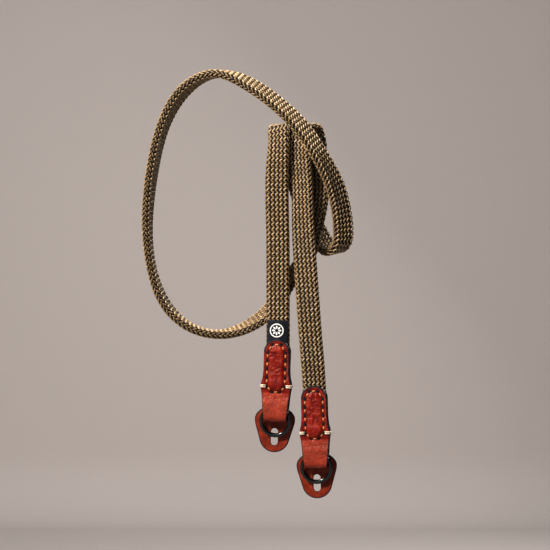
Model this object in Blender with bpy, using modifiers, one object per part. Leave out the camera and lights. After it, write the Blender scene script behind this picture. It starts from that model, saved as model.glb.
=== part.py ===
"""Camera strap: one flat woven strap, looped and hung over a point, with a folded
leather tab, a split ring and a leather guard on each end and a label on one.

Metres, +Z up. The strap hangs from the origin and its front faces look to -Y.
"""

import math
from collections import namedtuple

import bmesh
import bpy
import numpy as np
from mathutils import Matrix, Vector

# Gap between pieces that touch on the real strap
GAP = 0.0003

# Woven strap
STRAP_WIDTH = 0.015
STRAP_THICK = 0.005
STRAP_EDGE = 0.0018
STRAP_TUCK = 0.0275

# How the strap hangs: lengths below the hang point, and the size of the loops
HANG_RADIUS = 0.0028
DROP_A = 0.1318
DROP_B = 0.1611
LOOP_REACH = 0.0909
LOOP_HEIGHT = 0.1650
BIGHT_DROP = 0.0757

# Leather tab, one strip folded round the ring
TAB_LENGTH = 0.0523
TAB_WIDTH = 0.0163
TAB_THICK = 0.0020
TAB_EDGE = 0.0005
TAB_YAW = math.radians(6.0)
TAB_LEAN_A = math.radians(-1.9)
TAB_LEAN_B = math.radians(1.5)

# Split ring of flat wire, two turns deep
RING_DIAMETER = 0.0205
WIRE_HEIGHT = 0.0023
WIRE_DEPTH = 0.0013
WIRE_EDGE = 0.0004
RING_BELOW_FOLD_A = 0.0001
RING_BELOW_FOLD_B = 0.0003
RING_TILT_ROOM = 0.0006
RING_FOOT_ROOM = 0.0006
JOG_ANGLE = math.radians(24.0)
RING_STEPS = 22

# Leather guard that lies behind the ring
GUARD_LENGTH = 0.0722
GUARD_WIDTH = 0.0256
GUARD_TOE_WIDTH = 0.0190
GUARD_NECK_WIDTH = 0.0130
GUARD_NECK_LENGTH = 0.0150
GUARD_THICK = 0.0025
GUARD_EDGE = 0.0005
GUARD_WIDEST = 0.0512
GUARD_SHOULDER_RISE = 0.0086
GUARD_NECK_BLEND = 0.0008
GUARD_ASIDE_A = -0.0009
GUARD_ASIDE_B = -0.0002
SLOT_WIDTH = 0.0046
SLOT_LENGTH = 0.0109
SLOT_TO_TOE = 0.0044

# Label laid on the strap, its foot under the tab
LABEL_WIDTH = 0.0133
LABEL_THICK = 0.0006
LABEL_SHOWS = 0.0119
LABEL_TUCK = 0.0045
LABEL_EDGE = 0.0002

# Worked out from the sizes above
STRAP_CLEAR = STRAP_THICK / 2 + GAP + TAB_THICK / 2
RING_DEPTH = 2 * WIRE_DEPTH + GAP
RING_CLEAR = RING_DEPTH / 2 + RING_TILT_ROOM + GAP + TAB_THICK / 2
GUARD_FACE = max(STRAP_CLEAR, RING_CLEAR) + TAB_THICK / 2 + GAP
FOLD_RADIUS = HANG_RADIUS + STRAP_THICK / 2
LAYER = (STRAP_WIDTH + STRAP_THICK) / 4

# Front drops, from the leather up: strap widths to the right of the hang point, share of
# the drop, layers behind it (less than nothing is nearer), degrees the right edge is nearer.
# The folds' own place and yaw follow, and how far one slides to the right on its way back.
Drop = namedtuple("Drop", "across down back yaw")
DROP_B_ROWS = (
    Drop(1.012, 1.000, -1.25, 6),
    Drop(0.865, 0.819, -1.20, 8),
    Drop(0.683, 0.584, -1.08, 12),
    Drop(0.546, 0.356, -0.92, 24),
    Drop(0.478, 0.150, -0.86, 33),
)
DROP_A_ROWS = (
    Drop(-0.517, 0.150, -1.05, 14),
    Drop(-0.520, 0.500, -1.14, 5),
    Drop(-0.509, 0.850, -1.22, 6),
    Drop(-0.508, 1.000, -1.25, 6),
)
HANG_ACROSS_A = -0.290
HANG_ACROSS_B = 0.690
HANG_YAW_A = 30
HANG_YAW_B = 33
HANG_SLIDE_A = -0.25
HANG_SLIDE_B = 0.22

# Loops: share of the sideways unit, share of the height unit above the hang point, layers
# behind it, degrees the width is turned from the picture plane towards the front
Bend = namedtuple("Bend", "side rise back turn")
BEHIND_B_ROWS = (
    Bend(1.130, -0.085, 0.92, 33),
    Bend(1.215, -0.180, 1.00, 31),
    Bend(1.155, -0.284, 0.94, 30),
    Bend(0.920, -0.396, 0.98, 41),
    Bend(0.587, -0.503, 1.10, 50),
    Bend(0.042, -0.564, 1.22, 53),
)
BIG_LOOP_ROWS = (
    Bend(-0.084, -0.649, 1.20, 57),
    Bend(-0.259, -0.741, 1.00, 68),
    Bend(-0.478, -0.782, 0.75, 85),
    Bend(-0.702, -0.754, 0.45, 86),
    Bend(-0.869, -0.667, 0.20, 81),
    Bend(-0.967, -0.527, -0.10, 86),
    Bend(-0.996, -0.350, -0.50, 82),
    Bend(-0.962, -0.164, -1.05, 77),
    Bend(-0.873, 0.028, -1.65, 74),
    Bend(-0.716, 0.160, -2.15, 74),
    Bend(-0.522, 0.212, -2.60, 93),
    Bend(-0.321, 0.183, -2.95, 117),
    Bend(-0.122, 0.111, -3.25, 124),
)
BIGHT_ROWS = (
    Bend(0.586, -0.019, -3.55, 131),
    Bend(1.259, -0.221, -2.95, 132),
    Bend(1.864, -0.447, -1.75, 140),
    Bend(2.185, -0.694, -0.65, 146),
    Bend(2.255, -0.845, -0.15, 147),
    Bend(2.190, -0.946, 0.25, None),
    Bend(1.864, -1.000, 1.40, None),
    Bend(1.560, -0.966, 2.55, None),
    Bend(1.390, -0.905, 3.15, 38),
    Bend(0.890, -0.719, 3.22, 32),
    Bend(0.487, -0.509, 2.80, 22),
    Bend(0.042, -0.249, 1.85, 10),
)

# Tab seen from the side: share of its length, then how far the leather stands off the
# middle as shares of what the strap, the ring and the label need
Side = namedtuple("Side", "along strap ring label")
TAB_FRONT = (
    Side(0.000, 1.00, 0.00, 1.00),
    Side(0.110, 1.00, 0.00, 1.00),
    Side(0.220, 1.00, 0.00, 0.25),
    Side(0.320, 1.00, 0.00, 0.00),
    Side(0.560, 1.00, 0.00, 0.00),
    Side(0.645, 0.52, 0.05, 0.00),
    Side(0.710, 0.16, 0.60, 0.00),
    Side(0.780, 0.00, 1.00, 0.00),
    Side(0.860, 0.00, 1.00, 0.00),
)

# Tab seen from the front: share of its length, share of its width
Outline = namedtuple("Outline", "along width")
TAB_OUTLINE = (
    Outline(0.160, 1.00),
    Outline(0.380, 1.00),
    Outline(0.470, 1.05),
    Outline(0.535, 1.16),
    Outline(0.585, 1.18),
    Outline(0.640, 1.13),
    Outline(0.720, 1.07),
    Outline(0.860, 0.99),
    Outline(1.000, 0.87),
)

# The two ends: where each hangs, and how its label, ring and guard differ
End = namedtuple("End", "letter row drop lean label_lift ring_below guard_aside")
ENDS = (
    End("a", DROP_A_ROWS[-1], DROP_A, TAB_LEAN_A, 1.0, RING_BELOW_FOLD_A, GUARD_ASIDE_A),
    End("b", DROP_B_ROWS[0], DROP_B, TAB_LEAN_B, 0.0, RING_BELOW_FOLD_B, GUARD_ASIDE_B),
)

# Steps of the tab's arch and fold
ARCH_STEPS = 5
ARCH_START = math.radians(6.0)
FOLD_STEPS = 8
FOLD_LEAD = 0.01
TAB_COLUMNS = 6

# Steps of an arc, spacing of the strap's cross sections, and where shading turns sharp
ARC_STEPS = 8
STRAP_STEP = 0.012
STRAP_BEND_STEP = math.radians(13.0)
ROUTE_SAMPLES = 3000
SHARP_ANGLE = math.radians(40.0)


def clear_scene():
    for thing in list(bpy.data.objects):
        bpy.data.objects.remove(thing, do_unlink=True)


def new_collection(name):
    group = bpy.data.collections.new(name)
    bpy.context.scene.collection.children.link(group)
    return group


def new_material(name, colour, roughness, metallic=0.0):
    finish = bpy.data.materials.new(name)
    finish.use_nodes = True
    shader = finish.node_tree.nodes["Principled BSDF"]
    shader.inputs["Base Color"].default_value = (*colour, 1.0)
    shader.inputs["Roughness"].default_value = roughness
    shader.inputs["Metallic"].default_value = metallic
    return finish


def spline(knots, values, places):
    """Natural cubic spline through values at knots, read at places."""
    count = len(knots)
    step = np.diff(knots)
    rise = np.diff(values, axis=0) / step[:, None]
    matrix = np.eye(count)
    right = np.zeros_like(values)
    for i in range(1, count - 1):
        matrix[i, i - 1] = step[i - 1]
        matrix[i, i] = 2 * (step[i - 1] + step[i])
        matrix[i, i + 1] = step[i]
        right[i] = 6 * (rise[i] - rise[i - 1])
    bend = np.linalg.solve(matrix, right)
    span = np.clip(np.searchsorted(knots, places, side="right") - 1, 0, count - 2)
    width = step[span][:, None]
    after = (places - knots[span])[:, None]
    before = width - after
    return (
        bend[span] * before**3 / (6 * width)
        + bend[span + 1] * after**3 / (6 * width)
        + (values[span] / width - bend[span] * width / 6) * before
        + (values[span + 1] / width - bend[span + 1] * width / 6) * after
    )


def width_direction(yaw):
    """Direction across the strap, left to right, with its right edge nearer by yaw."""
    return Vector((math.cos(yaw), -math.sin(yaw), 0.0))


def end_axes(lean, yaw):
    """Across, front and down directions of a strap end."""
    down = Vector((math.sin(lean), 0.0, -math.cos(lean)))
    across = width_direction(yaw)
    across = (across - across.dot(down) * down).normalized()
    front = down.cross(across).normalized()
    return across, front, down


def drop_points(rows, drop, side):
    points = []
    for row in rows:
        place = Vector((row.across * STRAP_WIDTH, row.back * LAYER, -row.down * drop))
        points.append((place, side * width_direction(math.radians(row.yaw))))
    return points


def fold_points(across, yaw, side, slide):
    """Half turn over the hang point, from the front to the back, sliding to the right."""
    middle = Vector((across * STRAP_WIDTH, 0.0, -HANG_RADIUS))
    width = width_direction(yaw)
    front = Vector((-math.sin(yaw), -math.cos(yaw), 0.0))
    points = []
    for angle in (0, 45, 90, 135, 180):
        turn = math.radians(angle)
        spoke = math.cos(turn) * front + Vector((0, 0, math.sin(turn)))
        shift = width * (slide * STRAP_WIDTH * angle / 180)
        points.append((middle + shift + FOLD_RADIUS * spoke, side * width))
    return points


def bend_points(rows, sideways, height):
    points = []
    for row in rows:
        place = Vector((row.side * sideways, row.back * LAYER, row.rise * height))
        points.append((place, row.turn))
    return points


def settle_widths(points):
    """Turns the degrees of the loop rows into width directions, and fills the open ones."""
    toward = Vector((0, -1, 0))
    settled = []
    for i, (place, width) in enumerate(points):
        if isinstance(width, (int, float)):
            along = points[i + 1][0] - points[i - 1][0]
            left = Vector((-along.z, 0.0, along.x)).normalized()
            turn = math.radians(width)
            width = math.cos(turn) * left + math.sin(turn) * toward
        settled.append([place, width])
    for i, (place, width) in enumerate(settled):
        if width is None:
            after = min(k for k in range(i, len(settled)) if settled[k][1] is not None)
            share = 1.0 / (after - i + 1)
            settled[i][1] = settled[i - 1][1].lerp(settled[after][1], share).normalized()
    return settled


def end_point(top, lean, side):
    """The strap's hidden end, inside the leather below top."""
    across, front, down = end_axes(lean, TAB_YAW)
    return top + STRAP_TUCK * down, side * across


def strap_points():
    drop_b = drop_points(DROP_B_ROWS, DROP_B, 1)
    drop_a = drop_points(DROP_A_ROWS, DROP_A, -1)
    points = [end_point(drop_b[0][0], TAB_LEAN_B, 1)]
    points += drop_b
    points += fold_points(HANG_ACROSS_B, math.radians(HANG_YAW_B), 1, HANG_SLIDE_B)
    points += bend_points(BEHIND_B_ROWS, STRAP_WIDTH, LOOP_HEIGHT)
    points += bend_points(BIG_LOOP_ROWS, LOOP_REACH, LOOP_HEIGHT)
    points += bend_points(BIGHT_ROWS, STRAP_WIDTH, BIGHT_DROP)
    points += reversed(fold_points(HANG_ACROSS_A, math.radians(HANG_YAW_A), -1, HANG_SLIDE_A))
    points += drop_a
    points.append(end_point(drop_a[-1][0], TAB_LEAN_A, -1))
    return settle_widths(points)


def strap_sections():
    """Middle and width direction of each cross section, closer together in the bends."""
    points = strap_points()
    places = np.array([place[:] for place, _ in points])
    widths = np.array([width[:] for _, width in points])
    knots = np.concatenate(([0.0], np.cumsum(np.linalg.norm(np.diff(places, axis=0), axis=1))))
    fine = np.linspace(0.0, knots[-1], ROUTE_SAMPLES)
    middle = spline(knots, places, fine)
    width = spline(knots, widths, fine)
    along = np.gradient(middle, axis=0)
    along /= np.linalg.norm(along, axis=1)[:, None]
    width -= (width * along).sum(axis=1)[:, None] * along
    width /= np.linalg.norm(width, axis=1)[:, None]
    length = np.linalg.norm(np.diff(middle, axis=0), axis=1)
    bend = np.arccos(np.clip((along[1:] * along[:-1]).sum(axis=1), -1.0, 1.0))
    effort = np.concatenate(([0.0], np.cumsum(length / STRAP_STEP + bend / STRAP_BEND_STEP)))
    count = math.ceil(effort[-1])
    picks = [int(np.searchsorted(effort, effort[-1] * k / count)) for k in range(count)]
    picks.append(len(fine) - 1)
    return [(Vector(middle[k]), Vector(width[k])) for k in picks], float(length.sum())


def mesh_object(name, mesh, group, finish):
    thing = bpy.data.objects.new(name, mesh)
    group.objects.link(thing)
    mesh.materials.append(finish)
    mesh.shade_smooth()
    mesh.set_sharp_from_angle(angle=SHARP_ANGLE)
    return thing


def ribbon_mesh(name, rows):
    """A grid whose rows of points are laid along the rows given."""
    across = len(rows[0])
    bm = bmesh.new()
    bmesh.ops.create_grid(bm, x_segments=across - 1, y_segments=len(rows) - 1, size=0.5)
    bm.verts.ensure_lookup_table()
    for vert in bm.verts:
        column = round((vert.co.x + 0.5) * (across - 1))
        row = round((vert.co.y + 0.5) * (len(rows) - 1))
        vert.co = rows[row][column]
    bm.normal_update()
    mesh = bpy.data.meshes.new(name)
    bm.to_mesh(mesh)
    bm.free()
    return mesh


def thicken(thing, thickness, edge, edge_segments):
    wall = thing.modifiers.new("wall", "SOLIDIFY")
    wall.thickness = thickness
    wall.offset = 0.0
    wall.use_even_offset = True
    rim = thing.modifiers.new("rim", "BEVEL")
    rim.width = edge
    rim.segments = edge_segments
    rim.limit_method = "ANGLE"
    rim.angle_limit = SHARP_ANGLE


def make_strap(group, finish):
    sections, length = strap_sections()
    half = STRAP_WIDTH / 2
    rows = [[middle + width * half * share for share in (-1, 0, 1)] for middle, width in sections]
    thing = mesh_object("strap", ribbon_mesh("strap", rows), group, finish)
    thicken(thing, STRAP_THICK, STRAP_EDGE, 2)
    print("strap length with its hidden ends", round(length, 4), "m in", len(rows), "sections")


def read_table(rows, along, column):
    """The value of a table's column at along, on straight lines between its rows."""
    shares = [row.along for row in rows]
    values = [getattr(row, column) for row in rows]
    return float(np.interp(along, shares, values))


def tab_half_width(along):
    """Half the tab's width at a share of its length, with an arched top."""
    radius = TAB_WIDTH / 2
    depth = along * TAB_LENGTH
    if depth < radius:
        return math.sqrt(max(radius**2 - (radius - depth) ** 2, 0.0))
    return radius * read_table(TAB_OUTLINE, along, "width")


def tab_stand_off(along, label_lift):
    strap = read_table(TAB_FRONT, along, "strap")
    ring = read_table(TAB_FRONT, along, "ring")
    label = read_table(TAB_FRONT, along, "label") * label_lift
    return strap * STRAP_CLEAR + ring * RING_CLEAR + label * (LABEL_THICK + GAP)


def tab_rows(label_lift):
    """Half width, depth below the top and stand-off of each row, front top to back top."""
    radius = TAB_WIDTH / 2
    turns = [ARCH_START + math.pi / 2 * k / ARCH_STEPS for k in range(ARCH_STEPS)]
    arch = [radius * (1 - math.cos(turn)) / TAB_LENGTH for turn in turns]
    table = sorted({row.along for row in TAB_OUTLINE + TAB_FRONT if row.along > arch[-1]})
    fold_start = 1.0 - RING_CLEAR / TAB_LENGTH
    walls = arch + [along for along in table if along < fold_start - FOLD_LEAD]
    front = [(tab_half_width(a), a * TAB_LENGTH, tab_stand_off(a, label_lift)) for a in walls]
    back = [(tab_half_width(a), a * TAB_LENGTH, -tab_stand_off(a, 0.0)) for a in reversed(walls)]
    fold = []
    for step in range(FOLD_STEPS + 1):
        angle = math.pi * step / FOLD_STEPS
        depth = TAB_LENGTH - RING_CLEAR + RING_CLEAR * math.sin(angle) - TAB_THICK / 2
        fold.append((tab_half_width(depth / TAB_LENGTH), depth, RING_CLEAR * math.cos(angle)))
    return front + fold + back


def make_tab(name, top, axes, label_lift, group, finish):
    across, front, down = axes
    rows = []
    for half, depth, stand_off in tab_rows(label_lift):
        middle = top + down * depth + front * stand_off
        shares = [2 * k / TAB_COLUMNS - 1 for k in range(TAB_COLUMNS + 1)]
        rows.append([middle + across * half * share for share in shares])
    thing = mesh_object(name, ribbon_mesh(name, rows), group, finish)
    thicken(thing, TAB_THICK, TAB_EDGE, 1)


def wire_profile(guides):
    """Cross section of the ring's flat wire, with its corners cut."""
    high = WIRE_HEIGHT / 2
    deep = WIRE_DEPTH / 2
    corners = [(high, deep - WIRE_EDGE), (high - WIRE_EDGE, deep)]
    points = corners + [(-x, y) for x, y in reversed(corners)]
    points += [(-x, -y) for x, y in points]
    data = bpy.data.curves.new("wire_profile", "CURVE")
    data.dimensions = "2D"
    line = data.splines.new("POLY")
    line.points.add(len(points) - 1)
    for point, (x, y) in zip(line.points, reversed(points)):
        point.co = (x, y, 0.0, 1.0)
    line.use_cyclic_u = True
    guide = bpy.data.objects.new("wire_profile", data)
    guide.hide_render = True
    guide.display_type = "WIRE"
    guides.objects.link(guide)
    return guide


def ring_coil(name, profile):
    """Two turns of flat wire round Z in two planes, the jog between them at the head."""
    radius = (RING_DIAMETER - WIRE_HEIGHT) / 2
    pitch = WIRE_DEPTH + GAP
    first = JOG_ANGLE
    last = 4 * math.pi - JOG_ANGLE
    count = 2 * RING_STEPS
    data = bpy.data.curves.new(name, "CURVE")
    data.dimensions = "3D"
    data.twist_mode = "Z_UP"
    data.bevel_mode = "OBJECT"
    data.bevel_object = profile
    data.use_fill_caps = True
    line = data.splines.new("POLY")
    line.points.add(count)
    for k, point in enumerate(line.points):
        angle = first + (last - first) * k / count
        share = min(max((angle - 2 * math.pi) / (2 * JOG_ANGLE) + 0.5, 0.0), 1.0)
        climb = pitch * (share * share * (3 - 2 * share) - 0.5)
        point.co = (-radius * math.cos(angle), -radius * math.sin(angle), climb, 1.0)
    return data


def frame_matrix(origin, x_axis, y_axis, z_axis):
    turn = Matrix((x_axis, y_axis, z_axis)).transposed()
    return Matrix.Translation(origin) @ turn.to_4x4()


def make_ring(name, top, axes, below, profile, group, finish):
    """The ring hangs in the tab's fold and leans back until its foot nears the guard."""
    across, front, down = axes
    radius = (RING_DIAMETER - WIRE_HEIGHT) / 2
    head = RING_TILT_ROOM / 2
    foot = RING_DEPTH / 2 + RING_FOOT_ROOM - GUARD_FACE
    lean = math.asin((head - foot) / (2 * radius))
    hang = (down * math.cos(lean) - front * math.sin(lean)).normalized()
    middle = top + down * (TAB_LENGTH + below - radius) + front * head + hang * radius
    axis = across.cross(hang).normalized()
    thing = bpy.data.objects.new(name, ring_coil(name, profile))
    thing.matrix_world = frame_matrix(middle, hang, axis.cross(hang), axis)
    thing.data.materials.append(finish)
    group.objects.link(thing)


def guard_outline():
    """Half of the guard's outline from the neck's top to the toe: half width, depth."""
    wide = GUARD_WIDTH / 2
    toe = GUARD_TOE_WIDTH / 2
    toe_middle = GUARD_LENGTH - toe
    neck = GUARD_NECK_WIDTH / 2
    tangent = math.asin((wide - toe) / (toe_middle - GUARD_WIDEST))
    turn = math.acos((neck + 2 * GUARD_NECK_BLEND) / wide)
    shoulder = GUARD_WIDEST - GUARD_SHOULDER_RISE * math.sin(turn)
    neck_foot = shoulder - 2 * GUARD_NECK_BLEND
    points = [(neck, neck_foot - GUARD_NECK_LENGTH), (neck, neck_foot)]
    points.append((neck + GUARD_NECK_BLEND / 2, shoulder - GUARD_NECK_BLEND / 2))
    for k in range(ARC_STEPS + 1):
        angle = turn - (turn + tangent) * k / ARC_STEPS
        rise = GUARD_SHOULDER_RISE if angle > 0 else wide
        points.append((wide * math.cos(angle), GUARD_WIDEST - rise * math.sin(angle)))
    for k in range(1, ARC_STEPS + 1):
        angle = tangent + (math.pi / 2 - tangent) * k / ARC_STEPS
        points.append((toe * math.cos(angle), toe_middle + toe * math.sin(angle)))
    return points


def slot_outline():
    """The slot's outline round its middle: a straight slot with round ends."""
    radius = SLOT_WIDTH / 2
    middle = GUARD_LENGTH - SLOT_TO_TOE - SLOT_LENGTH / 2
    reach = SLOT_LENGTH / 2 - radius
    points = []
    for end in (1, -1):
        for k in range(ARC_STEPS + 1):
            angle = math.pi * k / ARC_STEPS
            points.append((end * radius * math.cos(angle),
                           middle + end * (reach + radius * math.sin(angle))))
    return points


def add_outline(data, points):
    line = data.splines.new("POLY")
    line.points.add(len(points) - 1)
    for point, (x, depth) in zip(line.points, points):
        point.co = (x, -depth, 0.0, 1.0)
    line.use_cyclic_u = True


def make_guard(name, top, axes, aside, group, finish):
    across, front, down = axes
    half = guard_outline()
    left = [(-x, depth) for x, depth in reversed(half[:-1])]
    data = bpy.data.curves.new(name, "CURVE")
    data.dimensions = "2D"
    data.fill_mode = "BOTH"
    data.extrude = GUARD_THICK / 2 - GUARD_EDGE
    data.bevel_depth = GUARD_EDGE
    data.bevel_resolution = 0
    data.offset = -GUARD_EDGE
    add_outline(data, half + left)
    add_outline(data, slot_outline())
    origin = top + across * aside - front * (GUARD_FACE + GUARD_THICK / 2)
    thing = bpy.data.objects.new(name, data)
    thing.matrix_world = frame_matrix(origin, across, -down, front)
    thing.data.materials.append(finish)
    group.objects.link(thing)


def make_label(top, axes, group, finish):
    across, front, down = axes
    height = LABEL_SHOWS + LABEL_TUCK
    bpy.ops.mesh.primitive_cube_add(size=1.0)
    thing = bpy.context.object
    thing.name = "label"
    thing.data.name = "label"
    thing.data.transform(Matrix.Diagonal((LABEL_WIDTH, LABEL_THICK, height, 1.0)))
    origin = top + down * (LABEL_TUCK - height / 2)
    origin += front * (STRAP_THICK / 2 + GAP + LABEL_THICK / 2)
    thing.matrix_world = frame_matrix(origin, across, -front, -down)
    thing.data.materials.append(finish)
    rim = thing.modifiers.new("rim", "BEVEL")
    rim.width = LABEL_EDGE
    rim.segments = 1
    for old in list(thing.users_collection):
        old.objects.unlink(thing)
    group.objects.link(thing)


def main():
    clear_scene()
    parts = new_collection("camera_strap")
    guides = new_collection("guides")
    weave = new_material("woven_strap", (0.24, 0.18, 0.09), 0.75)
    tab_leather = new_material("tab_leather", (0.36, 0.045, 0.02), 0.42)
    guard_leather = new_material("guard_leather", (0.25, 0.045, 0.02), 0.5)
    black_metal = new_material("black_metal", (0.02, 0.022, 0.025), 0.35, 1.0)
    black_patch = new_material("black_patch", (0.015, 0.017, 0.022), 0.6)

    make_strap(parts, weave)
    profile = wire_profile(guides)
    for end in ENDS:
        top = drop_points([end.row], end.drop, 1)[0][0]
        axes = end_axes(end.lean, TAB_YAW)
        make_tab("tab_" + end.letter, top, axes, end.label_lift, parts, tab_leather)
        make_ring("ring_" + end.letter, top, axes, end.ring_below, profile, parts, black_metal)
        make_guard("guard_" + end.letter, top, axes, end.guard_aside, parts, guard_leather)
        if end.label_lift:
            make_label(top, axes, parts, black_patch)


main()
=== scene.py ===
import math
from collections import namedtuple

import bmesh
import bpy
import numpy as np
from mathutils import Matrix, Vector, noise


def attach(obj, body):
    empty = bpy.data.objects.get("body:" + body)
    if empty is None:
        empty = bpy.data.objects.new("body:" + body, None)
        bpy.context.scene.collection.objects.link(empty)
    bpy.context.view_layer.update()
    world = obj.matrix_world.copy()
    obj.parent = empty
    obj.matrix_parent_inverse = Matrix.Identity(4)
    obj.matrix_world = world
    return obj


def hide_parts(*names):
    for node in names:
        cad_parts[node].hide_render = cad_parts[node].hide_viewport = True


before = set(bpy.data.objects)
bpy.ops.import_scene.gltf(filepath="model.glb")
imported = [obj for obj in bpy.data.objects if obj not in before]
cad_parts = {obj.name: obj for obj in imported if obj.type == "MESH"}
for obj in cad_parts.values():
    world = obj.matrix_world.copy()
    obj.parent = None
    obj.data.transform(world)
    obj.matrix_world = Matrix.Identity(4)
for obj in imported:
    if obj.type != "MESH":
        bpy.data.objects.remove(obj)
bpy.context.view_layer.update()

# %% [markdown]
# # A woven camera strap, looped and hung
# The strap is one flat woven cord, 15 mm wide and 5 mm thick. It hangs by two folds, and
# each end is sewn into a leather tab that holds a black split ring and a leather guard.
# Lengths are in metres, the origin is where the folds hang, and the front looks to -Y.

# %% [markdown]
# ## Camera
# The photo was taken straight on with a long lens, so the strap's two drops stay parallel.
# A camera far away with a long lens gives that. Its distance follows from the width that
# the picture takes in at the strap, so one number sets the framing.

# %% Camera
PIXEL = 0.000636
PICTURE = 550
ORIGIN_PIXEL = (290.0, 131.4)
LENS = 110.0
SENSOR = 36.0
NEAREST_SEEN = 0.05
VIEW_WIDTH = PIXEL * PICTURE
VIEW_DISTANCE = VIEW_WIDTH * LENS / SENSOR


def place_camera():
    data = bpy.data.cameras.new("camera")
    data.lens = LENS
    data.sensor_width = SENSOR
    data.clip_start = NEAREST_SEEN
    camera = bpy.data.objects.new("camera", data)
    across = (PICTURE / 2 - ORIGIN_PIXEL[0]) * PIXEL
    height = (ORIGIN_PIXEL[1] - PICTURE / 2) * PIXEL
    camera.location = (across, -VIEW_DISTANCE, height)
    camera.rotation_euler = (math.radians(90.0), 0.0, 0.0)
    bpy.context.scene.collection.objects.link(camera)
    bpy.context.scene.camera = camera


place_camera()
print("camera", round(VIEW_DISTANCE, 3), "m from the strap")

# %% [markdown]
# ## The strap's route
# The strap is one long ribbon, so its shape is a line with a width direction at each
# point. Few listed points and a smooth spline through them bend the way a woven
# strap does. The tables hold shares of the strap's own sizes, stretch by stretch.

# %% Sizes of the strap
STRAP_WIDTH = 0.015
STRAP_THICK = 0.005
STRAP_TUCK = 0.0275
HANG_RADIUS = 0.0028
DROP_A = 0.1318
DROP_B = 0.1611
LOOP_REACH = 0.0909
LOOP_HEIGHT = 0.1650
BIGHT_DROP = 0.0757
TAB_YAW = math.radians(6.0)
TAB_LEAN_A = math.radians(-1.9)
TAB_LEAN_B = math.radians(1.5)
FOLD_RADIUS = HANG_RADIUS + STRAP_THICK / 2
LAYER = (STRAP_WIDTH + STRAP_THICK) / 4

# %% Front drops, as shares of the strap's width and the drop
Drop = namedtuple("Drop", "across down back yaw")
DROP_B_ROWS = (
    Drop(1.012, 1.000, -1.25, 6),
    Drop(0.865, 0.819, -1.20, 8),
    Drop(0.683, 0.584, -1.08, 12),
    Drop(0.546, 0.356, -0.92, 24),
    Drop(0.478, 0.150, -0.86, 33),
)
DROP_A_ROWS = (
    Drop(-0.517, 0.150, -1.05, 14),
    Drop(-0.520, 0.500, -1.14, 5),
    Drop(-0.509, 0.850, -1.22, 6),
    Drop(-0.508, 1.000, -1.25, 6),
)
HANG_ACROSS_A = -0.290
HANG_ACROSS_B = 0.690
HANG_YAW_A = 30
HANG_YAW_B = 33
HANG_SLIDE_A = -0.25
HANG_SLIDE_B = 0.22

# %% Loops, as shares of the loop's reach and height
Bend = namedtuple("Bend", "side rise back turn")
BEHIND_B_ROWS = (
    Bend(1.130, -0.085, 0.92, 33),
    Bend(1.215, -0.180, 1.00, 31),
    Bend(1.155, -0.284, 0.94, 30),
    Bend(0.920, -0.396, 0.98, 41),
    Bend(0.587, -0.503, 1.10, 50),
    Bend(0.042, -0.564, 1.22, 53),
)
BIG_LOOP_ROWS = (
    Bend(-0.084, -0.649, 1.20, 57),
    Bend(-0.259, -0.741, 1.00, 68),
    Bend(-0.478, -0.782, 0.75, 85),
    Bend(-0.702, -0.754, 0.45, 86),
    Bend(-0.869, -0.667, 0.20, 81),
    Bend(-0.967, -0.527, -0.10, 86),
    Bend(-0.996, -0.350, -0.50, 82),
    Bend(-0.962, -0.164, -1.05, 77),
    Bend(-0.873, 0.028, -1.65, 74),
    Bend(-0.716, 0.160, -2.15, 74),
    Bend(-0.522, 0.212, -2.60, 93),
    Bend(-0.321, 0.183, -2.95, 117),
    Bend(-0.122, 0.111, -3.25, 124),
)
BIGHT_ROWS = (
    Bend(0.586, -0.019, -3.55, 131),
    Bend(1.259, -0.221, -2.95, 132),
    Bend(1.864, -0.447, -1.75, 140),
    Bend(2.185, -0.694, -0.65, 146),
    Bend(2.255, -0.845, -0.15, 147),
    Bend(2.190, -0.946, 0.25, None),
    Bend(1.864, -1.000, 1.40, None),
    Bend(1.560, -0.966, 2.55, None),
    Bend(1.390, -0.905, 3.15, 38),
    Bend(0.890, -0.719, 3.22, 32),
    Bend(0.487, -0.509, 2.80, 22),
    Bend(0.042, -0.249, 1.85, 10),
)
print("route rows", len(DROP_B_ROWS + BEHIND_B_ROWS + BIG_LOOP_ROWS + BIGHT_ROWS + DROP_A_ROWS))

# %% Points and width directions from the tables
TOWARD = Vector((0.0, -1.0, 0.0))


def width_direction(yaw):
    return Vector((math.cos(yaw), -math.sin(yaw), 0.0))


def end_axes(lean, yaw):
    """Across, front and down directions of a strap end."""
    down = Vector((math.sin(lean), 0.0, -math.cos(lean)))
    across = width_direction(yaw)
    across = (across - across.dot(down) * down).normalized()
    return across, down.cross(across).normalized(), down


def drop_points(rows, drop, side):
    points = []
    for row in rows:
        place = Vector((row.across * STRAP_WIDTH, row.back * LAYER, -row.down * drop))
        points.append((place, side * width_direction(math.radians(row.yaw))))
    return points


def fold_points(across, yaw, side, slide):
    """Half turn over the hang point, from the front to the back, sliding to the right."""
    middle = Vector((across * STRAP_WIDTH, 0.0, -HANG_RADIUS))
    front = Vector((-math.sin(yaw), -math.cos(yaw), 0.0))
    points = []
    for angle in range(0, 181, 45):
        turn = math.radians(angle)
        spoke = math.cos(turn) * front + Vector((0, 0, math.sin(turn)))
        shift = width_direction(yaw) * (slide * STRAP_WIDTH * angle / 180)
        points.append((middle + shift + FOLD_RADIUS * spoke, side * width_direction(yaw)))
    return points


def bend_points(rows, sideways, height):
    return [(Vector((row.side * sideways, row.back * LAYER, row.rise * height)), row.turn)
            for row in rows]


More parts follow.
